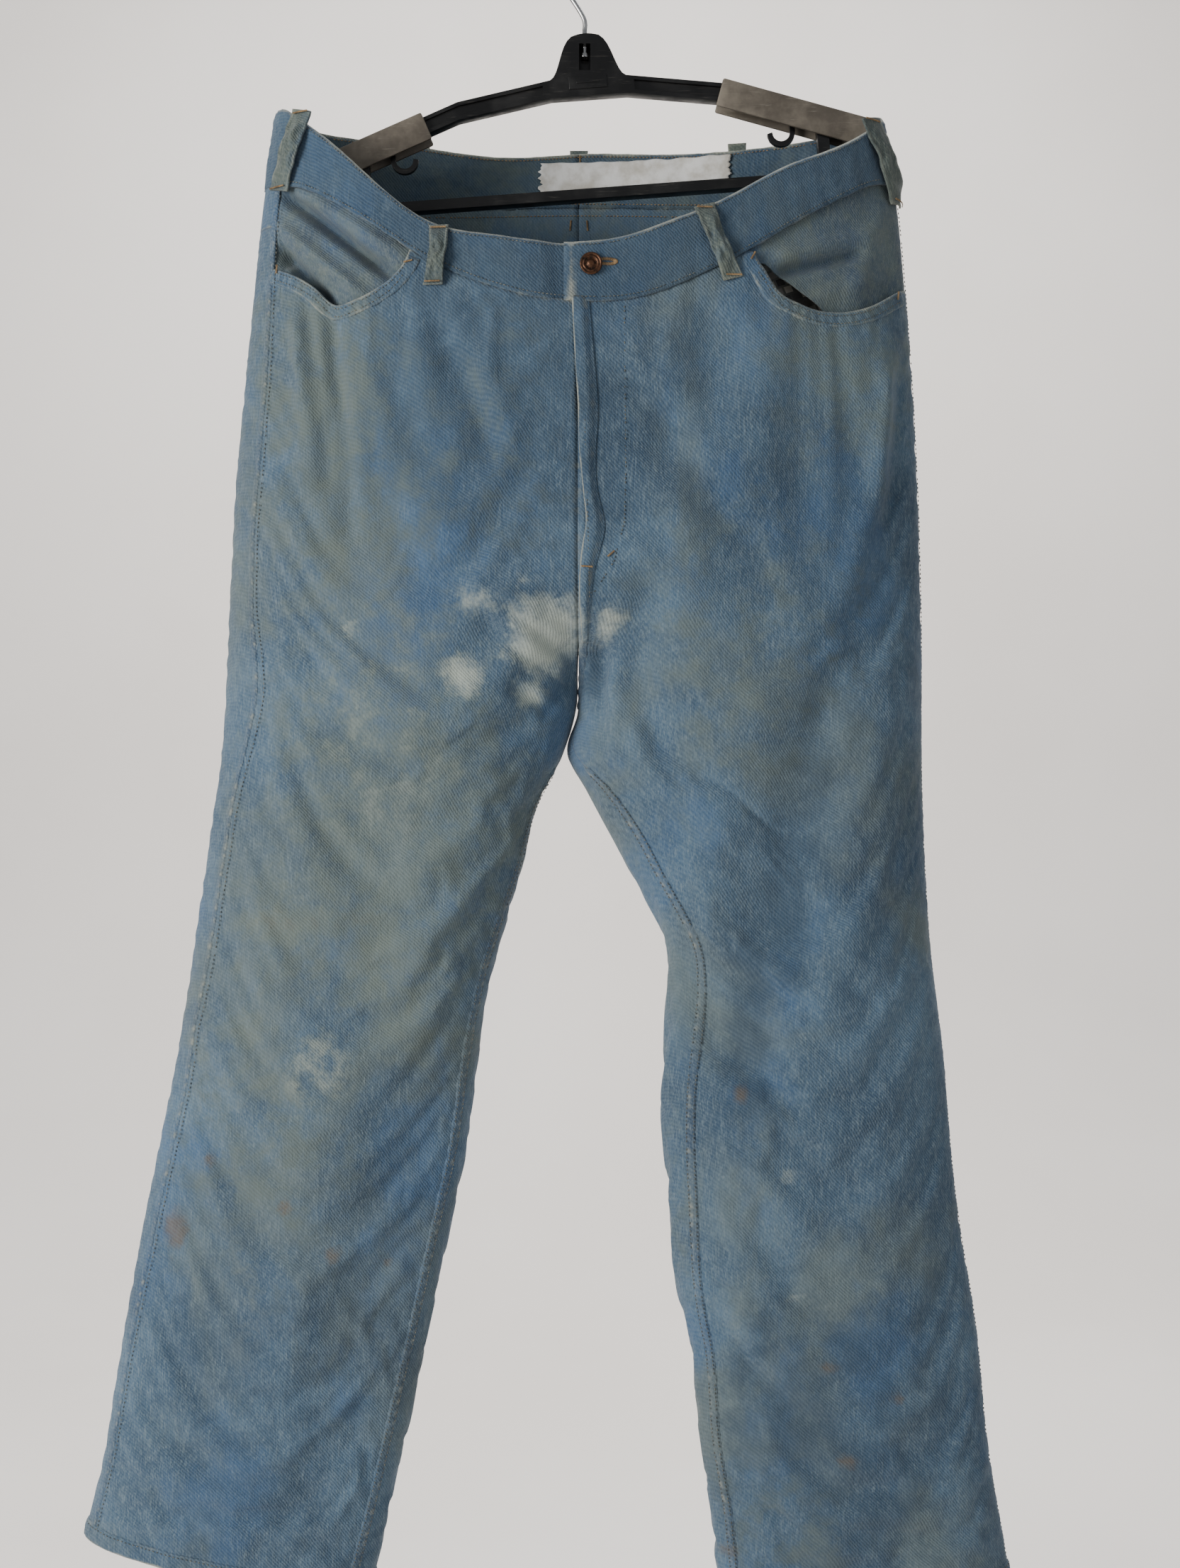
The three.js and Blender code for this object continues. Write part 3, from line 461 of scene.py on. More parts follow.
def hung_form(side, q, z, lift=0.0, calm=None):
    """A point of the hung cloth, with its folds, lifted off the form by a small distance."""
    x, y = bare_form(side, q, z)
    step = 0.01
    xa, ya = bare_form(side, q + step, z)
    xb, yb = bare_form(side, q - step, z)
    sign = -1 if side == "right" else 1
    nx, ny = (ya - yb) * sign * -1, (xa - xb) * sign
    length = np.hypot(nx, ny) + 1e-9
    nx, ny = nx / length, ny / length
    facing_front = ny < 0
    folds = np.where(facing_front, fold_heights(front_folds, x, z), fold_heights(back_folds, x, z))
    sideways = 0.2 + 0.8 * np.abs(ny)
    height = folds * np.abs(ny) + rolls(x, y, z) * sideways
    # The fly, the waist and the crotch are held by their seams, so folds die out there.
    held = near(x, middle_x, 26 * MM) * facing_front * ease(z, -0.555, -0.515)
    held = np.maximum(held, ease(z, -0.33, -0.2) * 0.75)
    held = np.maximum(held, near(np.abs(q), 1, 0.06) * (1 - leg_share(z)) * 0.6)
    height = height * (1 - held)
    if calm is not None:
        height = height * (1 - calm)
    height = height + lift
    return np.stack([x + nx * height, y + ny * height, z], axis=1)


# %% [markdown]
# ## Finding places on the cloth
# Seams, stitches and loops are easier to give by how far across and how high they are. So one
# function turns a place across the front or back into the form's own number q.


# %% Places on the cloth
def q_at(side, x, z, back=False):
    low, high = np.zeros_like(x), np.ones_like(x)
    for _ in range(26):
        middle = (low + high) / 2
        at, _y = bare_form(side, -middle if back else middle, z)
        beyond = (at - x) * (1 if side == "left" else -1) > 0
        low, high = np.where(beyond, middle, low), np.where(beyond, high, middle)
    q = (low + high) / 2
    return -q if back else q


def on_cloth(x, z, lift=0.0, back=False, calm=None):
    """Points of the hung cloth at these places across and up, on the front or the back."""
    x, z = np.broadcast_arrays(np.atleast_1d(np.asarray(x, float)), np.asarray(z, float))
    lift = np.broadcast_to(lift, x.shape)
    placed = np.empty((len(x), 3))
    for side in ("right", "left"):
        mine = (x < middle_x) == (side == "right")
        if mine.any():
            calm_here = None if calm is None else np.broadcast_to(calm, x.shape)[mine]
            placed[mine] = hung_form(side, q_at(side, x[mine], z[mine], back), z[mine], lift[mine], calm_here)
    return placed


# %% [markdown]
# ## Cutting a piece of cloth
# Every cloth piece starts as a flat grid. Its points are moved onto the hung form, and a solidify
# modifier gives it real thickness, so each one is a closed shell. Wear, stains and painted shade
# are stored on the points, where the finish picks them up.

# %% Stains, fading and painted shade: (across, up, half width, half height, strength), in millimetres
bleached_spots = [
    (-30, -546, 25, 24, 0.95), (-44, -586, 13, 10, 0.7), (-92, -574, 16, 14, 0.7), (-80, -515, 15, 16, 0.35),
    (-52, -502, 15, 7, 0.4), (18, -535, 12, 14, 0.6), (-177, -540, 10, 12, 0.3), (160, -957, 8, 6, 0.45),
    (163, -1052, 7, 5, 0.4), (-205, -872, 24, 28, 0.24), (-150, -620, 60, 110, 0.13), (-262, -1060, 22, 60, 0.1),
]
rust_spots = [
    (-317, -1000, 9, 17, 0.9), (-229, -980, 4.5, 5, 0.8), (-193, -1018, 6, 6, 0.8), (-153, -1028, 4, 4, 0.7),
    (-290, -947, 5, 6, 0.7), (119, -895, 5, 6, 0.7), (187, -1106, 7, 5, 0.8), (242, -1131, 5, 5, 0.8),
    (201, -1177, 7, 5, 0.8), (110, -1256, 7, 6, 0.8), (-209, -762, 44, 12, 0.2),
]
olive_areas = [
    (-150, -690, 95, 150, 0.75), (-205, -350, 60, 90, 0.65), (-190, -470, 80, 90, 0.5), (205, -330, 60, 80, 0.55),
    (-70, -400, 60, 90, 0.3), (120, -560, 90, 110, 0.35), (-240, -900, 70, 120, 0.45), (60, -1000, 40, 120, 0.2),
    (150, -1230, 60, 50, 0.3), (-209, -764, 50, 18, 0.95),
]
# Painted shade: dark patches along fold valleys, under the front pockets, at the crotch and on the lower legs.
painted_shade_areas = [
    (200, -560, 17, 80, 0.5), (175, -650, 17, 80, 0.65), (152, -740, 18, 80, 0.75), (128, -850, 20, 90, 0.7),
    (-110, -370, 125, 110, 0.8), (-250, -1090, 110, 180, 0.32), (190, -1170, 95, 130, 0.6),
    (250, -480, 22, 110, 0.3), (8, -572, 7, 22, 0.8),
]
back_spots = [(-110, -620, 40, 70, 0.2), (120, -480, 60, 60, 0.14), (190, -1010, 30, 60, 0.16)]


def patches(spots, x, z):
    total = np.zeros_like(x)
    for px, pz, rx, rz, strength in spots:
        far = ((x - px * MM) / (rx * MM)) ** 2 + ((z - pz * MM) / (rz * MM)) ** 2
        total = np.maximum(total, strength * np.exp(-(far**1.3) * 0.7))
    return total


def store(piece, name, values):
    made = piece.data.attributes.get(name) or piece.data.attributes.new(name, "FLOAT", "POINT")
    made.data.foreach_set("value", np.asarray(values, np.float32))


def corners(piece):
    flat = np.empty(len(piece.data.vertices) * 3)
    piece.data.vertices.foreach_get("co", flat)
    return flat.reshape(-1, 3)


def paint(piece, wear):
    x, y, z = corners(piece).T
    front = y < 0
    store(piece, "wear", wear)
    store(piece, "bleach", np.where(front, patches(bleached_spots, x, z), patches(back_spots, x, z)))
    store(piece, "rust", np.where(front, patches(rust_spots, x, z), 0))
    store(piece, "olive", np.where(front, patches(olive_areas, x, z), 0.3))
    # Painted shade: the dark patches above are stored here, and the back is darkened a little everywhere.
    store(piece, "deep_dye_and_shade", np.where(front, patches(painted_shade_areas, x, z), 0.1))


def settle(piece, finish, body, reverse=None):
    select_only(piece)
    bpy.ops.object.mode_set(mode="EDIT")
    bpy.ops.mesh.select_all(action="SELECT")
    bpy.ops.mesh.normals_make_consistent(inside=False)
    bpy.ops.object.mode_set(mode="OBJECT")
    bpy.ops.object.shade_smooth()
    piece.data.materials.clear()
    piece.data.materials.append(finish.material)
    if reverse:
        piece.data.materials.append(reverse.material)
    if body:
        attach(piece, body)
    return piece


def apply_all(piece):
    select_only(piece)
    for modifier in list(piece.modifiers):
        bpy.ops.object.modifier_apply(modifier=modifier.name)


def grid(name, columns, rows):
    """A flat grid, with how far across (u) and up (v) each of its points is."""
    bpy.ops.object.select_all(action="DESELECT")
    bpy.ops.mesh.primitive_grid_add(x_subdivisions=columns, y_subdivisions=rows, size=2)
    piece = bpy.context.object
    piece.name = name
    flat = corners(piece)
    return piece, (flat[:, 0] + 1) / 2, (flat[:, 1] + 1) / 2


def move_points(piece, placed):
    piece.data.vertices.foreach_set("co", placed.ravel())
    piece.data.update()


HANG_FRAMES = 22
RELAXED = 0.78  # the share of the simulated movement that is kept, so that the folds stay soft


def hang(shape, hold, columns=38, rows=130, spare=0.02):
    """Hangs a coarse copy of a panel as real cloth, cut a little too large, and returns how far each place moved.
    hold(u, v, placed) says how firmly each point is held: 1 at a seam, and less where the cloth is free."""
    piece, u, v = grid("hanging_copy", columns, rows)
    start = shape(u, v)
    move_points(piece, start)
    held = piece.vertex_groups.new(name="held")
    for index, weight in enumerate(hold(u, v, start)):
        held.add([index], float(weight), "REPLACE")
    cloth_modifier = piece.modifiers.new("hang", "CLOTH")
    facts = cloth_modifier.settings
    facts.quality = 5
    facts.mass = 0.15
    facts.tension_stiffness = 15
    facts.compression_stiffness = 15
    facts.shear_stiffness = 5
    facts.bending_stiffness = 0.6
    facts.air_damping = 2
    facts.vertex_group_mass = "held"
    facts.pin_stiffness = 1
    facts.shrink_min = -spare
    cloth_modifier.collision_settings.use_collision = False
    cloth_modifier.point_cache.frame_start = 1
    cloth_modifier.point_cache.frame_end = HANG_FRAMES
    for number in range(1, HANG_FRAMES + 1):
        bpy.context.scene.frame_set(number)
    apply_all(piece)
    bpy.context.scene.frame_set(1)
    moved = corners(piece) - start
    print("hung as cloth: moved", round(float(np.linalg.norm(moved, axis=1).max()) * 1000, 1), "mm at most")
    order = np.lexsort((u, v))
    wide, high = len(np.unique(u.round(5))), len(np.unique(v.round(5)))
    field = RELAXED * moved[order].reshape(high, wide, 3)
    bpy.data.objects.remove(piece, do_unlink=True)

    def shift(u, v):
        a, b = u * (wide - 1), v * (high - 1)
        i, j = np.clip(a.astype(int), 0, wide - 2), np.clip(b.astype(int), 0, high - 2)
        s, t = (a - i)[:, None], (b - j)[:, None]
        low = field[j, i] * (1 - s) + field[j, i + 1] * s
        high_row = field[j + 1, i] * (1 - s) + field[j + 1, i + 1] * s
        return low * (1 - t) + high_row * t

    return shift


def cloth(name, columns, rows, shape, thick, finish, inside, body=SEAT, wear=None,
          reverse=None, hold=None):
    """A grid moved onto shape(across, up), with both running 0 to 1, then thickened towards the inside."""
    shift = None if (hold is None) else hang(shape, hold)
    piece, u, v = grid(name, columns, rows)
    placed = shape(u, v)
    if shift:
        placed = placed + shift(u, v)
    move_points(piece, placed)
    paint(piece, np.zeros(len(u)) if wear is None else wear(u, v, placed))
    outward = sum(
        (face.center - Vector((inside[0], inside[1], face.center.z))).dot(face.normal) * face.area
        for face in piece.data.polygons
    )
    if outward < 0:
        piece.data.flip_normals()
    solid = piece.modifiers.new("thickness", "SOLIDIFY")
    solid.thickness = thick
    solid.offset = -1
    solid.material_offset = 1 if reverse else 0
    apply_all(piece)
    return settle(piece, finish, body, reverse)


# %% [markdown]
# ## Faded denim
# Denim has a dyed warp and a pale weft. Long noise stretched up and down gives its slub streaks,
# fine slanted waves give the twill, and the stored wear and stains fade or tint it. A stored
# painted shade darkens its fold valleys and creases.


# %% Denim finishes
def denim(name, deep_dye_and_shade, mid, pale, fine=1.0, worn=1.0):
    made = Finish(name)
    here = made.place()
    streak = made.noise(made.place(scale=(1, 1, 0.13)), 760, 3)
    slub = made.noise(made.place(scale=(1, 1, 0.22)), 260, 4)
    cloud = made.noise(here, 9, 5, 0.65)
    blotch = made.noise(here, 38, 5, 0.7)
    grain = made.noise(here, 900, 2)
    base = made.mix(made.span(cloud, 0.32, 0.7), deep_dye_and_shade, mid)
    base = made.mix(made.sum(made.span(streak, 0.42, 0.78), 0.42, "MULTIPLY"), base, pale)
    base = made.mix(made.sum(made.span(slub, 0.5, 0.8), 0.3, "MULTIPLY"), base, pale)
    base = made.mix(made.sum(made.span(blotch, 0.5, 0.75), 0.28, "MULTIPLY"), base, deep_dye_and_shade)
    speckle = made.noise(made.place(scale=(1, 1, 0.3)), 1000, 2, 0.7)
    base = made.mix(made.sum(made.span(speckle, 0.52, 0.72), 0.45, "MULTIPLY"), base, pale)
    base = made.mix(made.sum(made.span(speckle, 0.48, 0.3), 0.55, "MULTIPLY"), base, deep_dye_and_shade)

    dirt = made.node("ShaderNodeTexNoise")
    for key, value in (("Scale", 6.5), ("Detail", 7), ("Roughness", 0.62), ("Distortion", 0.7)):
        dirt.inputs[key].default_value = value
    made.link(made.place(scale=(1, 1, 0.75), turn=(0, math.radians(28), 0)), dirt.inputs["Vector"])
    dirty = made.span(dirt.outputs["Fac"], 0.45, 0.66)
    base = made.mix(made.sum(dirty, 0.52, "MULTIPLY"), base, linear(94, 102, 94))
    blue = made.span(made.noise(made.place(scale=(1.2, 1, 0.8)), 8.5, 6, 0.65), 0.5, 0.66)
    base = made.mix(made.sum(blue, 0.42, "MULTIPLY"), base, linear(50, 82, 120))

    def ragged(name, low, high):
        value = made.sum(made.attribute(name).outputs["Fac"], made.span(blotch, 0.3, 0.7, -0.28, 0.28))
        present = made.span(made.attribute(name).outputs["Fac"], 0.03, 0.15)
        return made.sum(made.span(value, low, high), present, "MULTIPLY")

    # Painted shade: the stored attribute darkens fold valleys, creases and the waistband towards this dark blue.
    base = made.mix(made.sum(ragged("deep_dye_and_shade", 0.1, 0.8), 0.6, "MULTIPLY"), base, linear(38, 56, 74))
    base = made.mix(made.sum(ragged("olive", 0.1, 0.9), 0.6, "MULTIPLY"), base, linear(98, 106, 94))
    base = made.mix(made.sum(ragged("bleach", 0.1, 0.95), 0.7, "MULTIPLY"), base, linear(172, 180, 168))
    base = made.mix(made.sum(ragged("rust", 0.1, 0.9), 0.55, "MULTIPLY"), base, linear(92, 76, 52))
    wear_value = made.sum(made.attribute("wear").outputs["Fac"], made.span(blotch, 0.3, 0.7, -0.22, 0.22))
    wear_grain = made.sum(made.span(wear_value, 0.25, 0.9), 0.9 * worn, "MULTIPLY")
    base = made.mix(wear_grain, base, linear(140, 142, 130))
    wave = made.node("ShaderNodeTexWave", wave_type="BANDS", bands_direction="DIAGONAL")
    wave.inputs["Scale"].default_value = 210
    wave.inputs["Distortion"].default_value = 0.6
    made.link(here, wave.inputs["Vector"])
    twill = wave.outputs["Fac"]
    base = made.mix(made.sum(twill, 0.12 * fine, "MULTIPLY"), base, pale)
    made.colour(base)
    made.shader.inputs["Roughness"].default_value = 0.92
    made.shader.inputs["Specular IOR Level"].default_value = 0.22
    made.shader.inputs["Sheen Weight"].default_value = 0.12
    height = made.sum(made.sum(twill, 0.5, "MULTIPLY"), made.sum(made.sum(streak, slub), grain))
    made.bump(height, 0.0006, 0.7 * fine)
    return made


outer_denim = denim("faded_denim", linear(46, 66, 86), linear(72, 95, 115), linear(116, 131, 138))
# The reverse is a darker copy of the denim: painted shade for the garment's inside faces.
shaded_reverse_denim = denim("denim_reverse_painted_darker", linear(44, 61, 78), linear(66, 87, 106), linear(98, 111, 120))
loop_denim = denim("belt_loop_denim", linear(52, 62, 64), linear(78, 88, 84), linear(116, 122, 112), worn=0.7)
seam_denim = denim("felled_seam_denim", linear(44, 62, 82), linear(72, 94, 114), linear(118, 130, 136), worn=0.7)
facing_denim = denim("pocket_facing_denim", linear(48, 64, 80), linear(76, 93, 104), linear(114, 122, 120))

# %% [markdown]
# ## The four long panels
# Each front runs from the waistband's seam, or the pocket's mouth, down to the hem. Each back
# runs from the yoke. The side seams and inseams are where they meet.


# %% Panel edges
def q_side(side, z):
    return side_seam[side](z)


inseam_line = {
    "right": smooth_line([(-0.6, 1.0), (-0.68, 0.94), (-0.78, 0.9), (-1.1, 0.86), (-1.3, 0.83)]),
    "left": smooth_line([(-0.6, 1.0), (-0.66, 0.85), (-0.74, 0.8), (-0.95, 0.8), (-1.1, 0.84), (-1.3, 0.85)]),
}


def q_front_inner(side, z):
    return np.where(z > -0.6, 1.0, inseam_line[side](z))


def q_back_inner(side, z):
    return np.where(z > -0.6, -1.0, inseam_line[side](z) - 2)


def front_top(side, x):
    seam = band_seam_front(x)
    inner = POCKET_INNER[side]
    outside = x < inner if side == "right" else x > inner
    return np.where(outside, np.minimum(seam, pocket_mouth[side](x)), seam)


def settle_height(start, edge, x_of):
    z = start.copy()
    for _ in range(14):
        z = 0.5 * z + 0.5 * edge(x_of(z))
    return z


def long_panel(side, back):
    inner = q_back_inner if back else q_front_inner
    top_edge = yoke_seam_back if back else (lambda x: front_top(side, x))

    def shape(u, v):
        def q_of(z):
            return q_side(side, z) + u * (inner(side, z) - q_side(side, z))

        def x_of(z):
            return bare_form(side, q_of(z), z)[0]

        top = settle_height(np.full(len(u), -0.25), top_edge, x_of)
        foot = settle_height(np.full(len(u), -1.28), lambda x: hem_height(side, x), x_of)
        z = foot + v * (top - foot)
        return hung_form(side, q_of(z), z)

    return shape


def panel_wear(side, back):
    def wear(u, v, placed):
        x, y, z = placed.T
        width = 0.24
        sides = near(u * width, 0, 4 * MM) * 0.3 + near((1 - u) * width, 0, 4 * MM) * 0.3
        top = near((1 - v) * 1.05, 0, 3 * MM) * 0.75
        if back:
            return np.clip(sides + top * 0.4, 0, 1)
        outside = x < POCKET_INNER[side] if side == "right" else x > POCKET_INNER[side]
        return np.clip(sides + np.where(outside, top, top * 0.5), 0, 1)

    return wear


def panel_hold(side, back):
    def hold(u, v, placed):
        x, y, z = placed.T
        edge = np.minimum(np.minimum(u, 1 - u) * 0.25, np.minimum(1 - v, v) * 1.05)
        free = 0.17 + 0.6 * np.exp(-((edge / 0.022) ** 2))
        weight = np.where(edge < 0.008, 1.0, free)
        if back:
            over_pocket = (z > -0.432) & (z < -0.27) & (y > 0.03) & (np.abs(x - middle_x) > 0.055)
            weight = np.where(over_pocket, 1.0, weight)
        else:
            weight = np.where((np.abs(x - middle_x) < 0.03) & (z > -0.53), 1.0, weight)
        at_edge = near(x, outer_edge[side](z), 0.016)
        if not back:
            at_edge = np.maximum(at_edge, near(x, inner_edge[side](z), 0.014))
        weight = np.maximum(weight, 0.75 * at_edge)
        return np.where(z < hem_height(side, x) + 0.018, 1.0, weight)

    return hold


# %% [markdown]
# ## The panels themselves
# Each panel is hung and thickened.

# %% Make the panels
panels = {}
for side, sign in (("right", -1), ("left", 1)):
    for back in (False, True):
        place = "back" if back else "front"
        columns = 84 if back else 72
        panel = cloth(
            f"denim_{place}_{side}", columns, 250, long_panel(side, back), 1.3 * MM, outer_denim,
            inside=(sign * 0.15, 0), body=None, wear=panel_wear(side, back), reverse=shaded_reverse_denim,
            hold=panel_hold(side, back),
        )
        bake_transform(panel)
        panels[place, side] = panel
        area = sum(face.area for face in panel.data.polygons) / 2
        print(panel.name, len(panel.data.polygons), "faces, cloth area", round(area, 4))

for side in ("right", "left"):
    front, back = panels["front", side], panels["back", side]
    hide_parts(f"front_panel_{side}", f"leg_front_{side}")
    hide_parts(f"back_panel_{side}", f"leg_back_{side}")

# %% [markdown]
# ## Waistband and yokes
# The band is folded cloth, so it is thicker than the panels and stands a little proud of them.
# The left end laps over the right one at the front. Its top fold is where the dye has worn off.


# %% Waistband shapes
def band_edges(q, x):
    front = q > 0
    top = np.where(front, band_top_front(x), band_top_back(x))
    seam = np.where(front, band_seam_front(x), band_seam_back(x))
    return top, seam


BAND_LIFT = 1.6 * MM
BAND_THICK = 3.4 * MM


def waistband(side, front_end):
    def shape(u, v):
        q = front_end + u * (-1 - front_end)

        def x_of(z):
            return bare_form(side, q, z)[0]

        top = settle_height(np.full(len(u), -0.2), lambda x: band_edges(q, x)[0], x_of)
        foot = settle_height(np.full(len(u), -0.2), lambda x: band_edges(q, x)[1], x_of)
        z = foot + v * (top - foot) - 0.8 * MM * (1 - v)
        rounded = 1.5 * MM * (1 - np.sqrt(1 - ease(v, 0.93, 1.0) ** 2 * 0.98))
        puckers = 0.5 * MM * np.sin(bare_form(side, q, z)[0] * 430 + 3 * v)
        puckers = puckers * (near(v, 0.04, 0.12) + 0.5 * near(v, 0.5, 0.5))
        lift = BAND_LIFT - rounded + puckers
        if side == "right":
            lift = lift - 3.4 * MM * ease(q, 0.93, 0.965)
        soft = np.array([noise.noise(Vector((a * 40, b * 40, c * 60))) for a, b, c in zip(q, v, z * 20)])
        return hung_form(side, q, z, lift + soft * 0.9 * MM)

    return shape


def band_wear(u, v, placed):
    return np.clip(near(v, 1, 0.05) * 0.8 + near(v, 0, 0.05) * 0.3 + near(u, 0.008, 0.004) * 0.6, 0, 1)


bands = {}
for side, sign, front_end in (("right", -1, 1.035), ("left", 1, 1.026)):
    bands[side] = cloth(
        f"waistband_cloth_{side}", 150, 18, waistband(side, front_end), BAND_THICK, outer_denim,
        inside=(sign * 0.1, 0), wear=band_wear, reverse=shaded_reverse_denim,
    )
    # The whole band, outside and inside, is darkened evenly through the same attribute that carries the painted
    # shade.
    store(bands[side], "deep_dye_and_shade", np.full(len(bands[side].data.vertices), 0.8))
    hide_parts(f"waistband_{side}")


# %% [markdown]
# ## Yokes
# A yoke fills the back between the waistband's seam and the seam where the back panel starts.

# %% Yokes
def yoke(side):
    def shape(u, v):
        def q_of(z):
            return q_side(side, z) + u * (-1 - q_side(side, z))

        def x_of(z):
            return bare_form(side, q_of(z), z)[0]

        top = settle_height(np.full(len(u), -0.2), band_seam_back, x_of)
        foot = settle_height(np.full(len(u), -0.25), yoke_seam_back, x_of)
        z = foot + v * (top - foot)
        return hung_form(side, q_of(z), z, 0.2 * MM)

    return shape


def yoke_wear(u, v, placed):
    return np.clip(near(v, 0, 0.06) * 0.6 + near(v, 1, 0.06) * 0.3, 0, 1)


yokes = {}
for side, sign in (("right", -1), ("left", 1)):
    yokes[side] = cloth(
        f"yoke_cloth_{side}", 84, 16, yoke(side), 1.3 * MM, outer_denim, inside=(sign * 0.1, 0), wear=yoke_wear,
        reverse=shaded_reverse_denim,
    )
    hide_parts(f"yoke_{side}")

# %% [markdown]
# ## Front pockets
# Behind each scooped mouth lies a facing, sewn in at the side and the waist. The right one hangs
# in deep slanting folds. The left one has turned down at its corner, and the checked lining shows
# in the gap beside it.

# %% Pocket facings
facing_folds = {
    "right": [
        ((-236, -198), (-148, -270), 3.6, -7.5), ((-226, -190), (-140, -256), 3.2, 5.0),
        ((-240, -222), (-168, -286), 3.8, 5.5), ((-205, -192), (-146, -240), 3, -5.0),
        ((-240, -242), (-196, -290), 4, -6.0), ((-180, -214), (-138, -250), 2.8, 4.0),
        ((-232, -256), (-222, -280), 3, 3.5),
    ],
    "left": [
        ((236, -200), (206, -286), 6, 2.6), ((226, -232), (142, -258), 4.4, 3.2),
        ((220, -246), (146, -268), 3.8, -3.8),
        ((236, -262), (176, -284), 5, 2.4),
    ],
}


def facing(side):
    inner_x = {"right": -124 * MM, "left": 119 * MM}[side]

    def foot_of(x):
        mouth = pocket_mouth[side](x) - 26 * MM
        if side == "left":
            turned = -262 * MM - np.clip(x - 137 * MM, 0, 1) * 0.68
            mouth = mouth + (np.maximum(mouth, turned) - mouth) * (1 - ease(x, 180 * MM, 212 * MM))
        return mouth

    def shape(u, v):
        def x_of(z):
            outer_x = bare_form(side, np.clip(q_side(side, z) - 0.015, 0, 1), z)[0]
            return outer_x + u * (inner_x - outer_x)

        top = settle_height(np.full(len(u), -0.2), band_seam_front, x_of)
        foot = settle_height(np.full(len(u), -0.3), foot_of, x_of)
        z = foot + v * (top + 2 * MM - foot)
        x = x_of(z)
        folds = fold_heights(facing_folds[side], x, z) * (1 - near(v, 1, 0.12))
        back_off = (-2.6 * MM - 2.0 * MM * near(v, 0.2, 0.3)) * ease(u, 0.0, 0.12) - 0.2 * MM
        folds = folds * ease(u, 0.0, 0.1)
        return on_cloth(x, z, back_off + folds - 1.5 * MM * np.abs(folds / (6 * MM)))

    return shape


facings = {}
for side, sign in (("right", -1), ("left", 1)):
    facings[side] = cloth(
        f"pocket_facing_cloth_{side}", 84, 60, facing(side), 1.2 * MM, facing_denim, inside=(sign * 0.1, 0),
    )
    facing_x, _y, facing_z = corners(facings[side]).T
    # Painted shade: the facing is darkened in its fold valleys, more where a fold sinks deeper.
    crease_shade = np.clip(-fold_heights(facing_folds[side], facing_x, facing_z) / (4 * MM), 0, 1)
    store(facings[side], "deep_dye_and_shade", np.clip(crease_shade + 0.05, 0, 1))
    store(facings[side], "olive", np.full(len(crease_shade), 0.35))
    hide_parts(f"pocket_facing_{side}")


# %% [markdown]
# ## Folded pocket mouths
# The front's edge is turned in along each scoop and stitched down, so it reads as a raised strip.

# %% Folded edges of the pocket mouths
def mouth_fold(side):
    low_x, high_x = {"right": (-240, -134), "left": (128, 246)}[side]
    edge = pocket_mouth[side]

    def shape(u, v):
        x = (low_x + u * (high_x - low_x)) * MM
        slope = (edge(x + 0.5 * MM) - edge(x - 0.5 * MM)) / MM
        reach = (1 - v) * 11.5 * MM
        across = reach * slope / np.hypot(slope, 1)
        z = edge(x) - reach / np.hypot(slope, 1) + 0.3 * MM
        wave = 0.3 * MM * np.sin(u * 110 + v * 2)
        lift = 1.0 * MM * ease(v, 0, 0.12) - 0.7 * MM * (1 - ease(v, 0, 0.12)) - 0.5 * MM * ease(v, 0.9, 1)
        return on_cloth(np.clip(x + across, -0.243, 0.2485), z, lift + wave * near(v, 0.5, 0.4))

    return shape


def mouth_wear(u, v, placed):
    return np.clip(0.18 + near(v, 0.96, 0.08) * 0.5 + near(v, 0.12, 0.08) * 0.3, 0, 1)


mouth_folds = {}
for side, sign in (("right", -1), ("left", 1)):
    mouth_folds[side] = cloth(
        f"pocket_mouth_fold_{side}", 110, 10, mouth_fold(side), 1.1 * MM, outer_denim, inside=(sign * 0.1, 0),
        wear=mouth_wear,
    )


# %% [markdown]
# ## Checked lining
# Pocket bags are cut from a light checked cotton. Two brick colours and a mortar make the check.

# %% Checked lining
lining = Finish("checked_lining")
lining_place = lining.place(scale=(1, 1, 1), turn=(0, math.radians(24), 0))
brick = lining.node("ShaderNodeTexBrick", offset=0.5, squash=1.0)
for key, value in (("Scale", 62), ("Brick Width", 0.5), ("Row Height", 0.42), ("Mortar Size", 0.055)):
    brick.inputs[key].default_value = value
brick.inputs["Color1"].default_value = (*linear(34, 40, 54), 1)
brick.inputs["Color2"].default_value = (*linear(198, 194, 184), 1)
brick.inputs["Mortar"].default_value = (*linear(104, 106, 104), 1)
turned = lining.node("ShaderNodeMapping")
turned.inputs["Rotation"].default_value = (math.radians(90), 0, 0)
lining.link(lining_place, turned.inputs["Vector"])
lining.link(turned.outputs["Vector"], brick.inputs["Vector"])
lining_cloud = lining.noise(lining.place(), 60, 4)
lining.colour(lining.mix(lining.span(lining_cloud, 0.4, 0.8, 0, 0.5), brick.outputs["Color"], linear(120, 112, 96)))
lining.shader.inputs["Roughness"].default_value = 0.9
lining.bump(lining.noise(lining.place(), 1200, 2), 0.0003, 0.5)


# %% [markdown]
# ## Pocket bags
# Each bag hangs well behind the front, rounded at its foot.

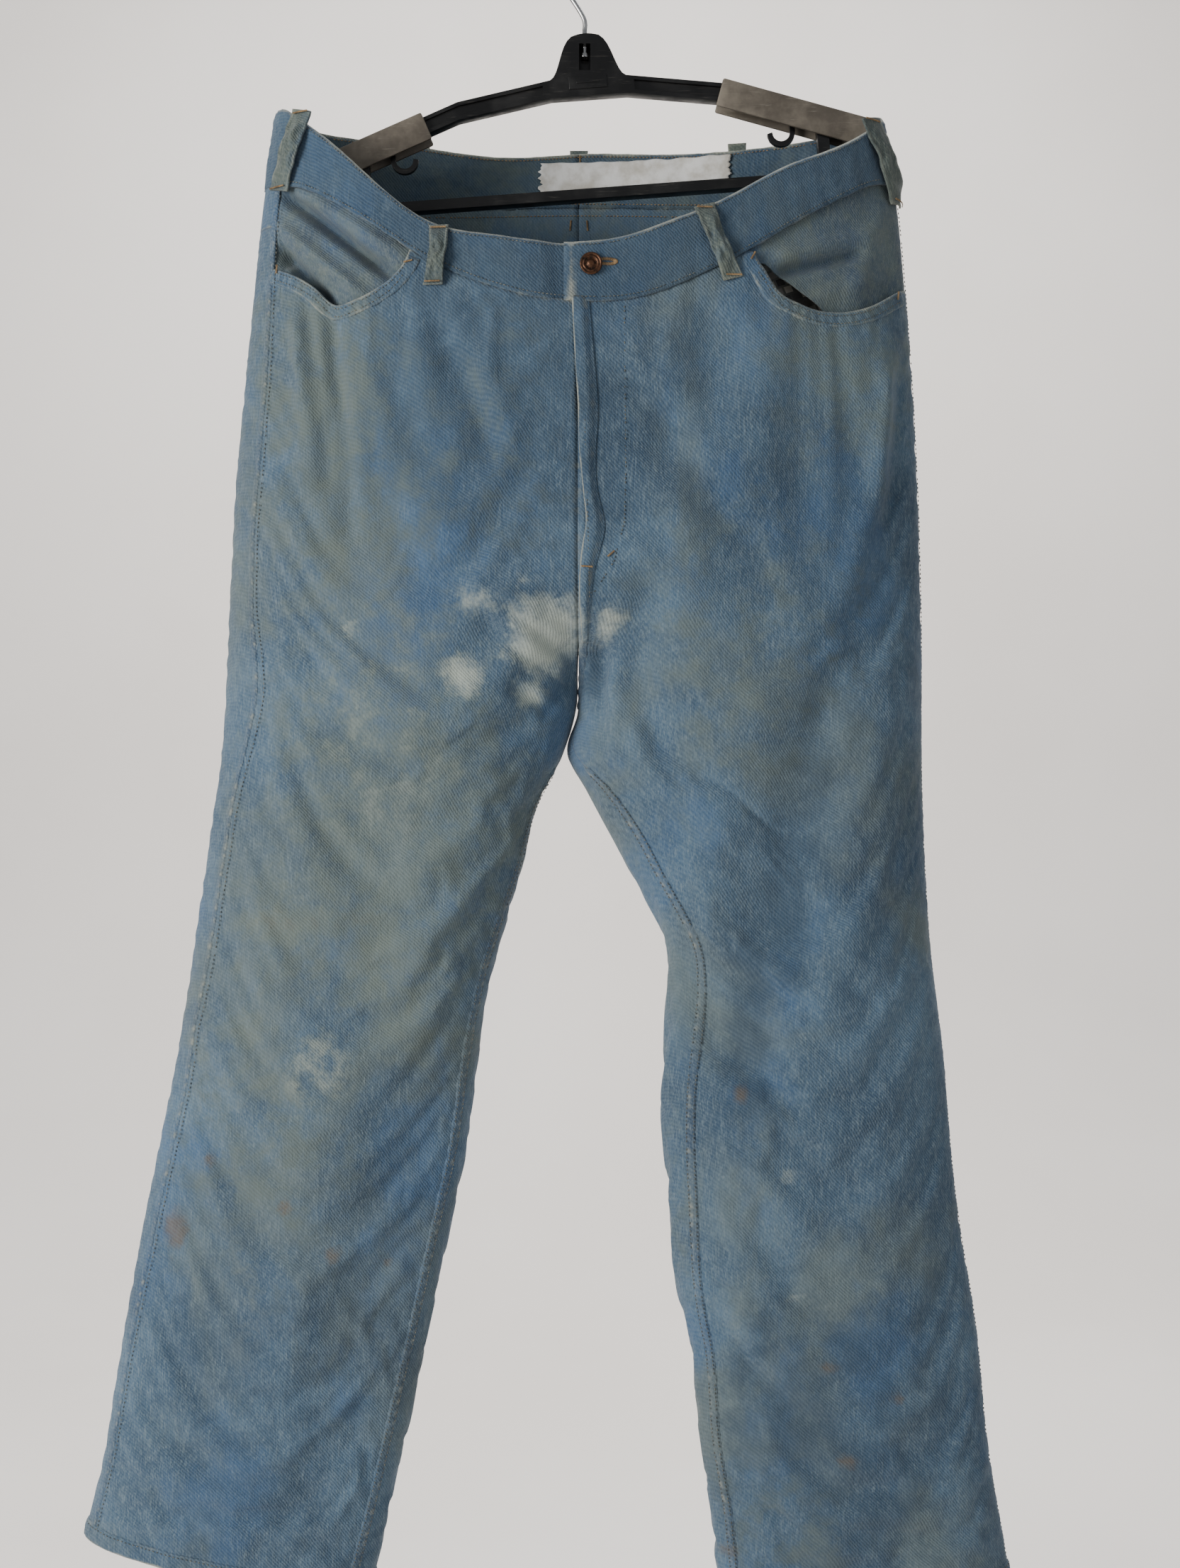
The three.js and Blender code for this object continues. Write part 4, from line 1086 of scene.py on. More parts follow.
# %% Pocket bags
def pocket_bag(side):
    outer_x, inner_x = {"right": (-236, -106), "left": (232, 104)}[side]

    def shape(u, v):
        x = (outer_x + u * (inner_x - outer_x)) * MM
        rounded = np.abs(2 * u - 1) ** 3
        foot = -0.452 + 0.075 * rounded
        top = band_seam_front(x) - 3 * MM
        z = foot + v * (top - foot)
        sag = -22 * MM - 3 * MM * near(v, 0.35, 0.3)
        ripple = 1.2 * MM * np.sin(x * 160 + z * 60)
        return on_cloth(x, z, sag + ripple)

    return shape


bags = {}
for side, sign in (("right", -1), ("left", 1)):
    bags[side] = cloth(
        f"pocket_bag_cloth_{side}", 36, 44, pocket_bag(side), 0.8 * MM, lining, inside=(sign * 0.1, 0),
    )
    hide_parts(f"pocket_bag_{side}")


# %% [markdown]
# ## Back pockets
# Each is a patch with a pointed foot, sewn on along three sides and open at the top.


# %% Back pocket patches
def back_pocket(low_x, high_x):
    def shape(u, v):
        x = (low_x + u * (high_x - low_x)) * MM
        x = x + (u - 0.5) * (v - 1) * 14 * MM
        foot = (-408 - 17 * (1 - np.abs(2 * u - 1))) * MM
        z = foot + v * (-281 * MM - foot)
        bulge = 2.2 * MM * np.sin(np.pi * u) * np.sin(np.pi * np.clip(v * 0.9, 0, 1))
        edge = np.minimum(np.minimum(u, 1 - u), v * 1.2)
        return on_cloth(x, z, 1.5 * MM + bulge + 0.5 * MM * near(edge, 0.05, 0.04), back=True, calm=0.35)

    return shape


def pocket_wear(u, v, placed):
    return np.clip(near(v, 1, 0.03) + 0.7 * near(u, 0, 0.03) + 0.7 * near(u, 1, 0.03) + 0.6 * near(v, 0, 0.03), 0, 1)


back_pockets = {}
for side, low_x, high_x, sign in (("right", -206, -70, -1), ("left", 60, 196, 1)):
    back_pockets[side] = cloth(
        f"back_pocket_cloth_{side}", 40, 40, back_pocket(low_x, high_x), 1.6 * MM, outer_denim,
        inside=(sign * 0.1, 0), wear=pocket_wear,
    )
    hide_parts(f"back_pocket_{side}")


# %% [markdown]
# ## Belt loops
# A loop is a narrow folded strip, tacked flat at both ends and standing off the band between
# them. Years of belts have crumpled them, so each has its own twist.


# %% Loop strips
def belt_loop(head, foot, back=False, bulge=5.5, twist=0.0, width=15.0, seed=0.0, sway=0.0):
    def shape(u, v):
        along = 1 - v
        x = (head[0] + along * (foot[0] - head[0]) + sway * np.sin(np.pi * v)) * MM
        z = (head[1] + along * (foot[1] - head[1])) * MM
        narrow = 1 - 0.16 * np.sin(np.pi * v)
        x = x + (u - 0.5) * width * MM * narrow
        z = z + (u - 0.5) * twist * MM
        arch = np.sin(np.pi * np.clip((v - 0.06) / 0.88, 0, 1)) ** 0.8
        crumple = np.array([
            noise.noise(Vector((a * 2.2 + seed, b * 4.2, seed)))
            + 0.5 * noise.noise(Vector((a * 5 + seed, b * 9, 4 + seed)))
            for a, b in zip(u, v)
        ])
        ridge = 0.7 * np.cos((u - 0.5) * 2 * np.pi) * arch
        lift = 3.0 + bulge * arch + crumple * 3.4 * arch + ridge
        return on_cloth(x, z, lift * MM, back=back, calm=0.6)

    return shape


def loop_wear(u, v, placed):
    return np.clip(near(u, 0.07, 0.07) + near(u, 0.93, 0.07) + near(v, 0, 0.04) + near(v, 1, 0.04), 0, 1) * 0.5


loop_places = {
    "front_right": dict(head=(-109.5, -236), foot=(-114, -281), bulge=5, seed=1.3, sway=1.5),
    "front_left": dict(head=(90, -221), foot=(112, -276), bulge=5, seed=4.1, twist=4, sway=-1.5),
    "side_right": dict(head=(-217, -137), foot=(-236, -197), bulge=6, seed=7.7, twist=-5, sway=3),
    "side_left": dict(head=(221, -140), foot=(245, -203), bulge=4.5, seed=9.2, twist=5, sway=-2),
    "back_right": dict(head=(-135, -129), foot=(-136, -189), back=True, seed=12.5),
    "back_left": dict(head=(125, -129), foot=(126, -189), back=True, seed=15.1),
    "back_centre": dict(head=(-5, -131), foot=(-5, -186), back=True, seed=18.4),
}
loops = {}
for name, facts in loop_places.items():
    head = facts["head"]
    centre = (head[0] * MM * 0.8, 0.02 if not facts.get("back") else -0.02)
    loops[name] = cloth(
        f"belt_loop_cloth_{name}", 14, 40, belt_loop(**facts), 1.5 * MM, loop_denim, inside=centre,
        wear=loop_wear,
    )
    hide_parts(f"belt_loop_{name}")

# %% [markdown]
# ## Fly
# The left front is folded back along the opening. The fold is a soft raised ridge that wanders a
# little down its length, over the shield that backs the zip.

# %% Fly fold and shield
fly_edge = smooth_line(millimetres(
    (-291, -9.5), (-340, -7), (-372, -5), (-404, -4), (-437, -1), (-461, 1), (-480, -2), (-513, -4), (-545, -2)))
fly_width = smooth_line(millimetres((-291, 13), (-380, 15), (-437, 11), (-470, 15), (-500, 11), (-548, 7)))


def fly_fold(u, v):
    z = (-549 + v * 257) * MM
    x = fly_edge(z) + u * fly_width(z)
    hump = 1.0 * MM * np.sin(np.pi * np.clip(u * 1.05, 0, 1))
    wander = np.array([noise.noise(Vector((3, 1, c * 34))) for c in z]) * 0.9 * MM
    lift = 1.9 * MM * (1 - ease(u, 0.45, 1.0)) + hump + wander * (1 - u) + 0.2 * MM
    placed = on_cloth(np.full(len(u), middle_x + 1e-5), z, 0.0)
    centre_y = placed[:, 1]
    flat_fall = (x - middle_x) ** 2 * 0.9
    return np.stack([x, centre_y + flat_fall - lift - 0.35 * MM, z], axis=1)


def fly_wear(u, v, placed):
    return np.clip(near(u, 0, 0.09) * 0.75 + near(u, 0.75, 0.2) * 0.3, 0, 1)


fly = cloth("fly_fold", 22, 110, fly_fold, 1.4 * MM, outer_denim, inside=(0, 0.02), wear=fly_wear)


def fly_shield(u, v):
    z = (-496 + v * 200) * MM
    x = (-22 + u * 54) * MM
    return np.stack([x, front_y + 8.6 * MM + (x - middle_x) ** 2 * 1.2, z], axis=1)


# The shield takes the darker reverse copy, painted shade behind the fly.
shield = cloth("fly_shield_cloth", 16, 60, fly_shield, 1.2 * MM, shaded_reverse_denim, inside=(0, 0.02))
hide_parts("fly_shield")

# %% [markdown]
# ## Seams that show
# A felled seam is two folded edges sewn flat. It stands a little proud and puckers where the
# thread has drawn it up. Each follows the line where two panels meet.


# %% Felled seams
PUCKER_PITCH = 0.0085


def seam_strip(side, q_line, low_z, high_z, width, lift, pucker):
    def shape(u, v):
        z = low_z + v * (high_z - low_z)
        q = q_line(z)
        xa, ya = bare_form(side, q + 0.01, z)
        xb, yb = bare_form(side, q - 0.01, z)
        per_q = np.hypot(xa - xb, ya - yb) / 0.02
        q = q + (u - 0.5) * width / np.maximum(per_q, 0.08)
        rise = lift * (1 - np.abs(2 * u - 1) ** 3) - 0.5 * MM * np.abs(2 * u - 1) ** 3
        wave = np.sin(z * 2 * np.pi / PUCKER_PITCH + 2.0 * np.sin(z * 70)) * pucker * (0.4 + 0.6 * u)
        return hung_form(side, q, z, rise + wave)

    return shape


def seam_wear(u, v, placed):
    z = placed[:, 2]
    dashes = 0.5 + 0.5 * np.sin(z * 2 * np.pi / PUCKER_PITCH + 2.0 * np.sin(z * 70))
    return np.clip(0.1 + 0.5 * dashes * near(u, 0.7, 0.25), 0, 1)


def add_seam(name, side, q_line, low_z, high_z, width=6.5 * MM, lift=0.8 * MM, pucker=0.25 * MM):
    count = max(20, int((high_z - low_z) / 0.0022))
    strip = cloth(
        name, 8, min(count, 360), seam_strip(side, q_line, low_z, high_z, width, lift, pucker), 1.0 * MM, seam_denim,
        inside=((-1 if side == "right" else 1) * 0.15, 0), body=None, wear=seam_wear,
    )
    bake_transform(strip)


for side in ("right", "left"):
    outer_foot, inner_foot = HEM[side][0][1], HEM[side][1][1]
    add_seam(f"side_seam_{side}", side, side_seam[side], outer_foot + 6 * MM, -0.19)
    add_seam(
        f"inside_leg_seam_{side}", side, inseam_line[side], inner_foot + 8 * MM, -0.645, 9 * MM, 1.1 * MM, 0.6 * MM)
add_seam(
    "centre_back_seam", "left", lambda z: np.full_like(z, -0.985), LEG_WHOLE + 2 * MM, -0.182, 8 * MM, 0.8 * MM)
add_seam(
    "crotch_seam", "left", lambda z: np.full_like(z, 0.985), LEG_WHOLE + 2 * MM, -0.535, 8 * MM, 1.0 * MM, 0.6 * MM)


# %% [markdown]
# ## Hems
# A hem is the leg's edge turned up. Its thread pulls at a slant, so the ring is roped.

# %% Hems
def hem_ring(side):
    def shape(u, v):
        q = q_side(side, -1.27) + 2 * u

        def x_of(z):
            return bare_form(side, q, z)[0]

        foot = settle_height(np.full(len(u), -1.28), lambda x: hem_height(side, x), x_of)
        z = foot - 0.8 * MM + v * 14 * MM
        roping = 0.6 * MM * np.sin(2 * np.pi * (q * 26 + v * 0.8))
        rise = 1.3 * MM * (1 - ease(v, 0.8, 1.0)) - 1.2 * MM * (1 - ease(v, 0.0, 0.12))
        return hung_form(side, q, z, rise + roping * (1 - np.abs(2 * v - 1)))

    return shape


def hem_wear(u, v, placed):
    return np.clip(near(v, 0, 0.14) * 0.9 + near(v, 0.9, 0.12) * 0.35, 0, 1)


hems = {}
for side, sign in (("right", -1), ("left", 1)):
    middle = sum(end[0] for end in HEM[side]) / 2
    hems[side] = cloth(
        f"hem_cloth_{side}", 190, 10, hem_ring(side), 3.4 * MM, outer_denim, inside=(middle, 0), body=f"leg_{side}",
        wear=hem_wear,
    )
    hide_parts(f"hem_{side}")

# %% [markdown]
# ## Thread
# Topstitching is a row of short raised dashes, and a bartack is a dozen stitches packed side by
# side where a seam takes strain. A whole row is one mesh, made by copying one small bead.

# %% Thread finish
def twisted_thread(name, dark, light, rough):
    made = Finish(name)
    cloud = made.span(made.noise(made.place(), 160, 3), 0.35, 0.7)
    made.colour(made.mix(cloud, dark, light))
    made.shader.inputs["Roughness"].default_value = rough
    made.bump(made.noise(made.place(scale=(1, 1, 0.3)), 2600, 2), 0.0002, 0.6)
    return made


thread = twisted_thread("tan_thread", linear(106, 84, 56), linear(150, 124, 88), 0.75)
faded_thread = twisted_thread("faded_blue_thread", linear(58, 64, 66), linear(104, 104, 94), 0.8)

bpy.ops.object.select_all(action="DESELECT")
bpy.ops.mesh.primitive_uv_sphere_add(segments=6, ring_count=4, radius=1)
bead = bpy.context.object
bead_points = corners(bead)
bead_faces = [tuple(face.vertices) for face in bead.data.polygons]
bpy.data.objects.remove(bead, do_unlink=True)


def thread_mesh(name, placings, finish, body):
    """One mesh of many beads. A placing is (middle, along, across, out), each a vector with its length."""
    points, faces = [], []
    for middle, along, across, out in placings:
        start = len(points)
        points += [tuple(middle + along * p[0] + across * p[1] + out * p[2]) for p in bead_points]
        faces += [tuple(start + i for i in face) for face in bead_faces]
    mesh = bpy.data.meshes.new(name)
    mesh.from_pydata(points, [], faces)
    piece = bpy.data.objects.new(name, mesh)
    bpy.context.collection.objects.link(piece)
    return settle(piece, finish, body)


def unit(vector):
    return vector / (np.linalg.norm(vector) + 1e-12)


def stitch_row(path, pitch=3.0, length=2.1, thick=0.42, skip=0.04, seed=1):
    """Placings of beads along a path of points on the cloth, lying flat on it."""
    steps = np.linalg.norm(np.diff(path, axis=0), axis=1)
    travelled = np.concatenate([[0], np.cumsum(steps)])
    placings = []
    chance = np.random.default_rng(seed)
    for here in np.arange(pitch / 2 * MM, travelled[-1], pitch * MM):
        if chance.random() < skip:
            continue
        middle = np.array([np.interp(here, travelled, path[:, k]) for k in range(3)])
        ahead = np.array([np.interp(here + 0.5 * MM, travelled, path[:, k]) for k in range(3)])
        along = unit(ahead - middle)
        outward = unit(np.array([(middle[0] - middle_x) * 0.1, middle[1], 0]))
        across = unit(np.cross(outward, along))
        outward = np.cross(along, across)
        placings.append((middle, along * length / 2 * MM, across * thick * MM, outward * thick * MM))
    return placings


def bartack(centre, angle, length, lift, back=False, width=1.7):
    """A packed bar of thread, its long way at this angle from level."""
    x0, z0 = centre[0] * MM, centre[1] * MM
    turn = math.radians(angle)
    count = max(5, int(length / 0.62))
    placings = []
    for i in range(count):
        t = (i / (count - 1) - 0.5) * length * MM
        x, z = x0 + t * math.cos(turn), z0 + t * math.sin(turn)
        middle = on_cloth(x, z, lift * MM, back=back)[0]
        out = unit(np.array([0, middle[1], 0]))
        across = np.array([-math.sin(turn), 0, math.cos(turn)])
        along = np.array([math.cos(turn), 0, math.sin(turn)])
        placings.append((middle, across * width / 2 * MM, along * 0.42 * MM, out * 0.5 * MM))
    return placings


def line(points, lift, count=160, back=False):
    """A path over the cloth through places (across, up) in millimetres."""
    points = np.array(points, float) * MM
    steps = np.concatenate([[0], np.cumsum(np.linalg.norm(np.diff(points, axis=0), axis=1))])
    at = np.linspace(0, steps[-1], count)
    return on_cloth(np.interp(at, steps, points[:, 0]), np.interp(at, steps, points[:, 1]), lift * MM, back=back)


def curve_line(edge, low_x, high_x, drop, lift, back=False, count=200):
    x = np.linspace(low_x, high_x, count) * MM
    return on_cloth(x, edge(x) + drop * MM, lift * MM, back=back)


# %% [markdown]
# ## Rows on the seat
# The back and the inside of the waistband are sewn in tan thread, as are the corners of the back
# pockets. The other rows have faded towards the cloth.

# %% Rows on the seat
tan_rows, blue_rows = [], []
for drop in (-2.6, -8.5):
    blue_rows += stitch_row(curve_line(pocket_mouth["right"], -240, -134 + drop * 0.3, drop, 1.15), seed=3)
    blue_rows += stitch_row(curve_line(pocket_mouth["left"], 128 - drop * 0.3, 246, drop, 1.15), seed=4)
    blue_rows += stitch_row(curve_line(yoke_seam_back, -235, 228, -drop * 0.6, 0.5, back=True), seed=5)
blue_rows += stitch_row(curve_line(band_seam_front, -232, -14, 2.2, 2.0), seed=6)
blue_rows += stitch_row(curve_line(band_seam_front, -9, 228, 2.2, 2.0), seed=7)
blue_rows += stitch_row(curve_line(band_top_front, -215, -14, -3.0, 1.9), seed=8)
blue_rows += stitch_row(curve_line(band_top_front, -9, 215, -3.0, 1.9), seed=9)
tan_rows += stitch_row(curve_line(band_top_back, -225, 216, -3.5, 1.8, back=True), seed=10)
tan_rows += stitch_row(curve_line(band_seam_back, -225, 216, 2.5, 1.8, back=True), seed=11)
tan_rows += stitch_row(curve_line(band_top_back, -205, 196, -3.6, -2.2, back=True), seed=12)
tan_rows += stitch_row(curve_line(band_seam_back, -205, 196, 2.6, -2.2, back=True), seed=13)
tan_rows += stitch_row(curve_line(band_seam_back, -200, 190, -7, -1.5, back=True), seed=14)
for low_x, high_x in ((-206, -70), (60, 196)):
    for inset in (2.5, 8.5):
        left, right, middle = low_x + inset + 6, high_x - inset - 6, (low_x + high_x) / 2
        outline = [
            (left - 5, -283), (left, -406 + inset), (middle, -424 + inset), (right, -406 + inset), (right + 5, -283)]
        blue_rows += stitch_row(line(outline, 3.4, 260, back=True), seed=15)
    tan_rows += bartack((low_x + 6, -285), 90, 8, 3.9, back=True) + bartack((high_x - 6, -285), 90, 8, 3.9, back=True)
fly_curve = [(30, -297), (31, -420), (30, -460), (22, -490), (8, -512), (0, -516)]
blue_rows += stitch_row(line(fly_curve, 0.4), seed=16, skip=0.3)
blue_rows += stitch_row(line([(-1, -350), (2, -440), (4, -520)], 3.0), seed=17, skip=0.4)

# %% [markdown]
# ## Bars on the seat
# Short bars of tan thread hold the fly, the pocket corners and both ends of each belt loop. Four
# more sit on the inside of the back.

# %% Bars on the seat
tan_rows += bartack((20, -484), 40, 6, 0.9) + bartack((2, -494), -4, 8, 3.4)
tan_rows += bartack((-237, -259), 84, 6, 1.7) + bartack((-133, -262), 12, 6, 1.7)
tan_rows += bartack((127, -258), 60, 6, 1.7) + bartack((243, -277), 84, 6, 1.7)
for name, facts in loop_places.items():
    head, foot, back = facts["head"], facts["foot"], facts.get("back", False)
    tan_rows += bartack((head[0], head[1] - 2.2), 0, 11, 4.6, back=back)
    tan_rows += bartack((foot[0], foot[1] + 2.2), 0, 11, 4.4, back=back)
tan_rows += bartack((-150, -138), 20, 5, -2.2, back=True) + bartack((-4, -139), 88, 5, -2.2, back=True)
tan_rows += bartack((-12, -194), 85, 8, -1.7, back=True) + bartack((2, -194), 95, 8, -1.7, back=True)
thread_mesh("seat_thread_tan", tan_rows, thread, SEAT)
thread_mesh("seat_thread_faded", blue_rows, faded_thread, SEAT)

# %% [markdown]
# ## Rows on the legs
# The legs' thread lies on the panels, and each leg's rows are one piece.

# %% Rows on the legs
for side in ("right", "left"):
    rows = []
    outer_foot, inner_foot = HEM[side][0][1], HEM[side][1][1]
    z = np.linspace(outer_foot + 4 * MM, -0.2, 700)
    rows += stitch_row(hung_form(side, side_seam[side](z) + 0.03, z, 0.9 * MM), 3.4, seed=20)
    z = np.linspace(inner_foot + 6 * MM, -0.65, 500)
    for shift in (-0.012, 0.014):
        rows += stitch_row(hung_form(side, inseam_line[side](z) + shift, z, 1.5 * MM), 3.2, seed=21)
    (outer_x, _z), (inner_x, _z) = HEM[side]
    x = np.linspace(outer_x, inner_x, 90) * 0.97 + 0.03 * (outer_x + inner_x) / 2
    for back in (False, True):
        placed = on_cloth(x, hem_height(side, x) + 11.2 * MM, 1.35 * MM, back=back)
        rows += stitch_row(placed, 3.4, seed=22)
    leg_thread = thread_mesh(f"leg_thread_{side}", rows, faded_thread, None)
    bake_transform(leg_thread)

# %% [markdown]
# ## Button and buttonhole
# The button is stamped copper: a domed rim, a sunk ring with small beads, and a raised middle.
# Its outline is spun round the button's own axis.

# %% Button
copper = Finish("aged_copper")
copper_place = copper.place()
tarnish = copper.span(copper.noise(copper_place, 260, 5), 0.38, 0.68)
copper.colour(copper.mix(tarnish, linear(84, 58, 42), linear(36, 28, 24)))
copper.link(copper.span(tarnish, 0, 1, 0.42, 0.65), copper.shader.inputs["Roughness"])
copper.shader.inputs["Metallic"].default_value = 0.85
copper.bump(copper.noise(copper_place, 900, 4), 0.0002, 0.5)

profile = [  # (radius, depth) from the middle of the face round to the back, in millimetres
    (0, -6.9), (1.4, -6.9), (2.3, -6.5), (2.9, -5.8), (3.5, -5.5), (4.2, -5.5), (4.8, -5.9), (5.2, -6.4), (5.7, -6.4),
    (6.1, -5.9), (6.5, -5.7), (7.0, -6.2), (7.7, -6.5), (8.3, -6.1), (8.5, -5.3), (8.2, -4.6), (6.0, -4.2),
    (2.0, -4.1), (1.8, -2.0), (1.8, 0.2), (0, 0.2),
]
button_low, button_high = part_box("waist_button")
button_middle = ((button_low[0] + button_high[0]) / 2, (button_low[2] + button_high[2]) / 2)
button_y = button_low[1] + 6.9 * MM
mesh = bpy.data.meshes.new("relief_button")
mesh.from_pydata(
    [(button_middle[0] + r * MM, button_y + y * MM, button_middle[1]) for r, y in profile],
    [(i, i + 1) for i in range(len(profile) - 1)], [])
button = bpy.data.objects.new("relief_button", mesh)
bpy.context.collection.objects.link(button)
select_only(button)
bpy.ops.object.mode_set(mode="EDIT")
bpy.ops.mesh.select_all(action="SELECT")
bpy.ops.mesh.spin(
    steps=48, angle=2 * math.pi, center=(button_middle[0], 0, button_middle[1]), axis=(0, 1, 0), use_auto_merge=False)
bpy.ops.mesh.select_all(action="SELECT")
bpy.ops.mesh.remove_doubles(threshold=0.00002)
bpy.ops.object.mode_set(mode="OBJECT")
settle(button, copper, "button")
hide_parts("waist_button")
BEAD_RING = 3.85 * MM
beads = []
for i in range(18):
    turn = i * math.pi / 9
    across, up = BEAD_RING * math.cos(turn), BEAD_RING * math.sin(turn)
    middle = np.array([button_middle[0] + across, button_y - 5.5 * MM, button_middle[1] + up])
    beads.append((middle, np.array([0.5 * MM, 0, 0]), np.array([0, 0, 0.5 * MM]), np.array([0, -0.4 * MM, 0])))
button_beads = thread_mesh("button_relief_beads", beads, copper, "button")

# %% [markdown]
# ## Buttonhole
# Thread stands round the button's stem like spokes. The cloth under it isn't cut open.

# %% Buttonhole
hole = []
for i in range(46):
    turn = i * 2 * math.pi / 46
    x, z = (17 + 7.0 * math.cos(turn)) * MM, (-264.8 + 1.9 * math.sin(turn)) * MM
    middle = on_cloth(x, z, 2.2 * MM)[0]
    radial = unit(np.array([math.cos(turn) * 0.6, 0, math.sin(turn)]))
    hole.append((middle, radial * 1.5 * MM, np.cross(radial, (0, 1, 0)) * 0.42 * MM, np.array([0, -0.5 * MM, 0])))
thread_mesh("buttonhole_thread", hole, thread, SEAT)

# %% [markdown]
# ## Label
# A blank strip of white tape, torn at its ends, is tacked inside the back of the waistband.

# %% Blank label
paper = Finish("blank_label")
paper_place = paper.place()
paper_cloud = paper.span(paper.noise(paper_place, 70, 5), 0.35, 0.75)
paper.colour(paper.mix(paper_cloud, linear(214, 214, 212), linear(176, 172, 162)))
paper.shader.inputs["Roughness"].default_value = 0.85
paper.bump(paper.noise(paper_place, 420, 4), 0.0004, 0.5)


def label_shape(u, v):
    ragged = np.array([noise.noise(Vector((b * 9, 3, 1))) + 0.5 * noise.noise(Vector((b * 30, 8, 1))) for b in v])
    frayed = np.array([noise.noise(Vector((a * 14, 5, 2))) for a in u])
    low_x, high_x = -37 + ragged * 5, 120 + ragged * 3.5
    x = (low_x + u * (high_x - low_x)) * MM
    z = (-163.5 + v * 22 + (u - 0.5) * 4 + frayed * 1.1 * (2 * v - 1) - 2.5 * near(u, 0, 0.15) * (1 - v)) * MM
    ripple = 0.5 * np.sin(u * 17 + v * 2) + 0.4 * frayed
    return on_cloth(x, z, (-3.1 + ripple * 0.5) * MM, back=True)


label = cloth(
    "blank_label_tape", 70, 14, label_shape, 0.4 * MM, paper, inside=(0, 0))
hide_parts("waist_label")

# %% [markdown]
# ## Hanger
# The CAD parts have sharp edges. A copy of each gets its corners rounded by a bevel, as moulded
# plastic has, and a finish with scuffs. The wire is bright and the sleeves are dull and scraped.


# %% Hanger finishes
def plastic(name, dark, light, rough, scuff, metal=0.0):
    made = Finish(name)
    here = made.place()
    cloud = made.span(made.noise(here, 30, 5), 0.35, 0.7)
    scratch = made.span(made.noise(made.place(scale=(0.06, 1, 1), turn=(0, 0.2, 0)), 900, 3), 0.6, 0.78)
    made.colour(made.mix(made.sum(scratch, scuff, "MULTIPLY"), made.mix(cloud, dark, light), linear(168, 162, 150)))
    made.link(made.span(made.sum(cloud, scratch), 0, 1.4, rough, rough + 0.3), made.shader.inputs["Roughness"])
    made.shader.inputs["Metallic"].default_value = metal
    made.shader.inputs["Specular IOR Level"].default_value = 0.5 if metal else 0.36
    made.bump(made.sum(made.noise(here, 240, 3), scratch), 0.0003, 0.3)
    return made


black = plastic("black_plastic", linear(8, 8, 9), linear(19, 19, 19), 0.3, 0.08)
grey = plastic("grey_plastic", linear(74, 68, 60), linear(112, 105, 94), 0.5, 0.3)
wire = plastic("hook_wire", linear(150, 150, 150), linear(190, 190, 190), 0.18, 0.1, 1.0)
brass = plastic("zip_brass", linear(130, 104, 60), linear(96, 80, 52), 0.35, 0.1, 0.9)
tape = plastic("zip_tape", linear(40, 46, 54), linear(56, 62, 68), 0.85, 0.05)


def rounded_copy(node, name, width, finish, body, angle=35):
    source = frame["nodes"][node]
    piece = bpy.data.objects.new(name, source.data.copy())
    bpy.context.collection.objects.link(piece)
    select_only(piece)
    bpy.ops.object.mode_set(mode="EDIT")
    bpy.ops.mesh.select_all(action="SELECT")
    bpy.ops.mesh.remove_doubles(threshold=0.00001)
    bpy.ops.object.mode_set(mode="OBJECT")
    bevel = piece.modifiers.new("rounded", "BEVEL")
    bevel.width = width
    bevel.segments = 3
    bevel.limit_method = "ANGLE"
    bevel.angle_limit = math.radians(angle)
    bevel.use_clamp_overlap = True
    apply_all(piece)
    settle(piece, finish, body)
    select_only(piece)
    bpy.ops.object.shade_smooth_by_angle(angle=math.radians(32))
    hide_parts(node)
    return piece


rounded_copy("hanger_frame", "moulded_hanger", 1.1 * MM, black, SEAT)
crown_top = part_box("hanger_frame")[1][2]


def plastic_plate(name, middle, size, turn, width):
    """A small box with rounded edges, turned to lie square on the tilted hanger."""
    bpy.ops.object.select_all(action="DESELECT")
    bpy.ops.mesh.primitive_cube_add(size=1)
    plate = bpy.context.object
    plate.name = name
    plate.data.transform(Matrix.Translation(middle) @ Matrix.Rotation(turn, 4, "Y") @ Matrix.Diagonal((*size, 1)))
    bevel = plate.modifiers.new("rounded", "BEVEL")
    bevel.width = width
    bevel.segments = 3
    apply_all(plate)
    settle(plate, black, SEAT)
    select_only(plate)
    bpy.ops.object.shade_smooth_by_angle(angle=math.radians(32))
    return plate


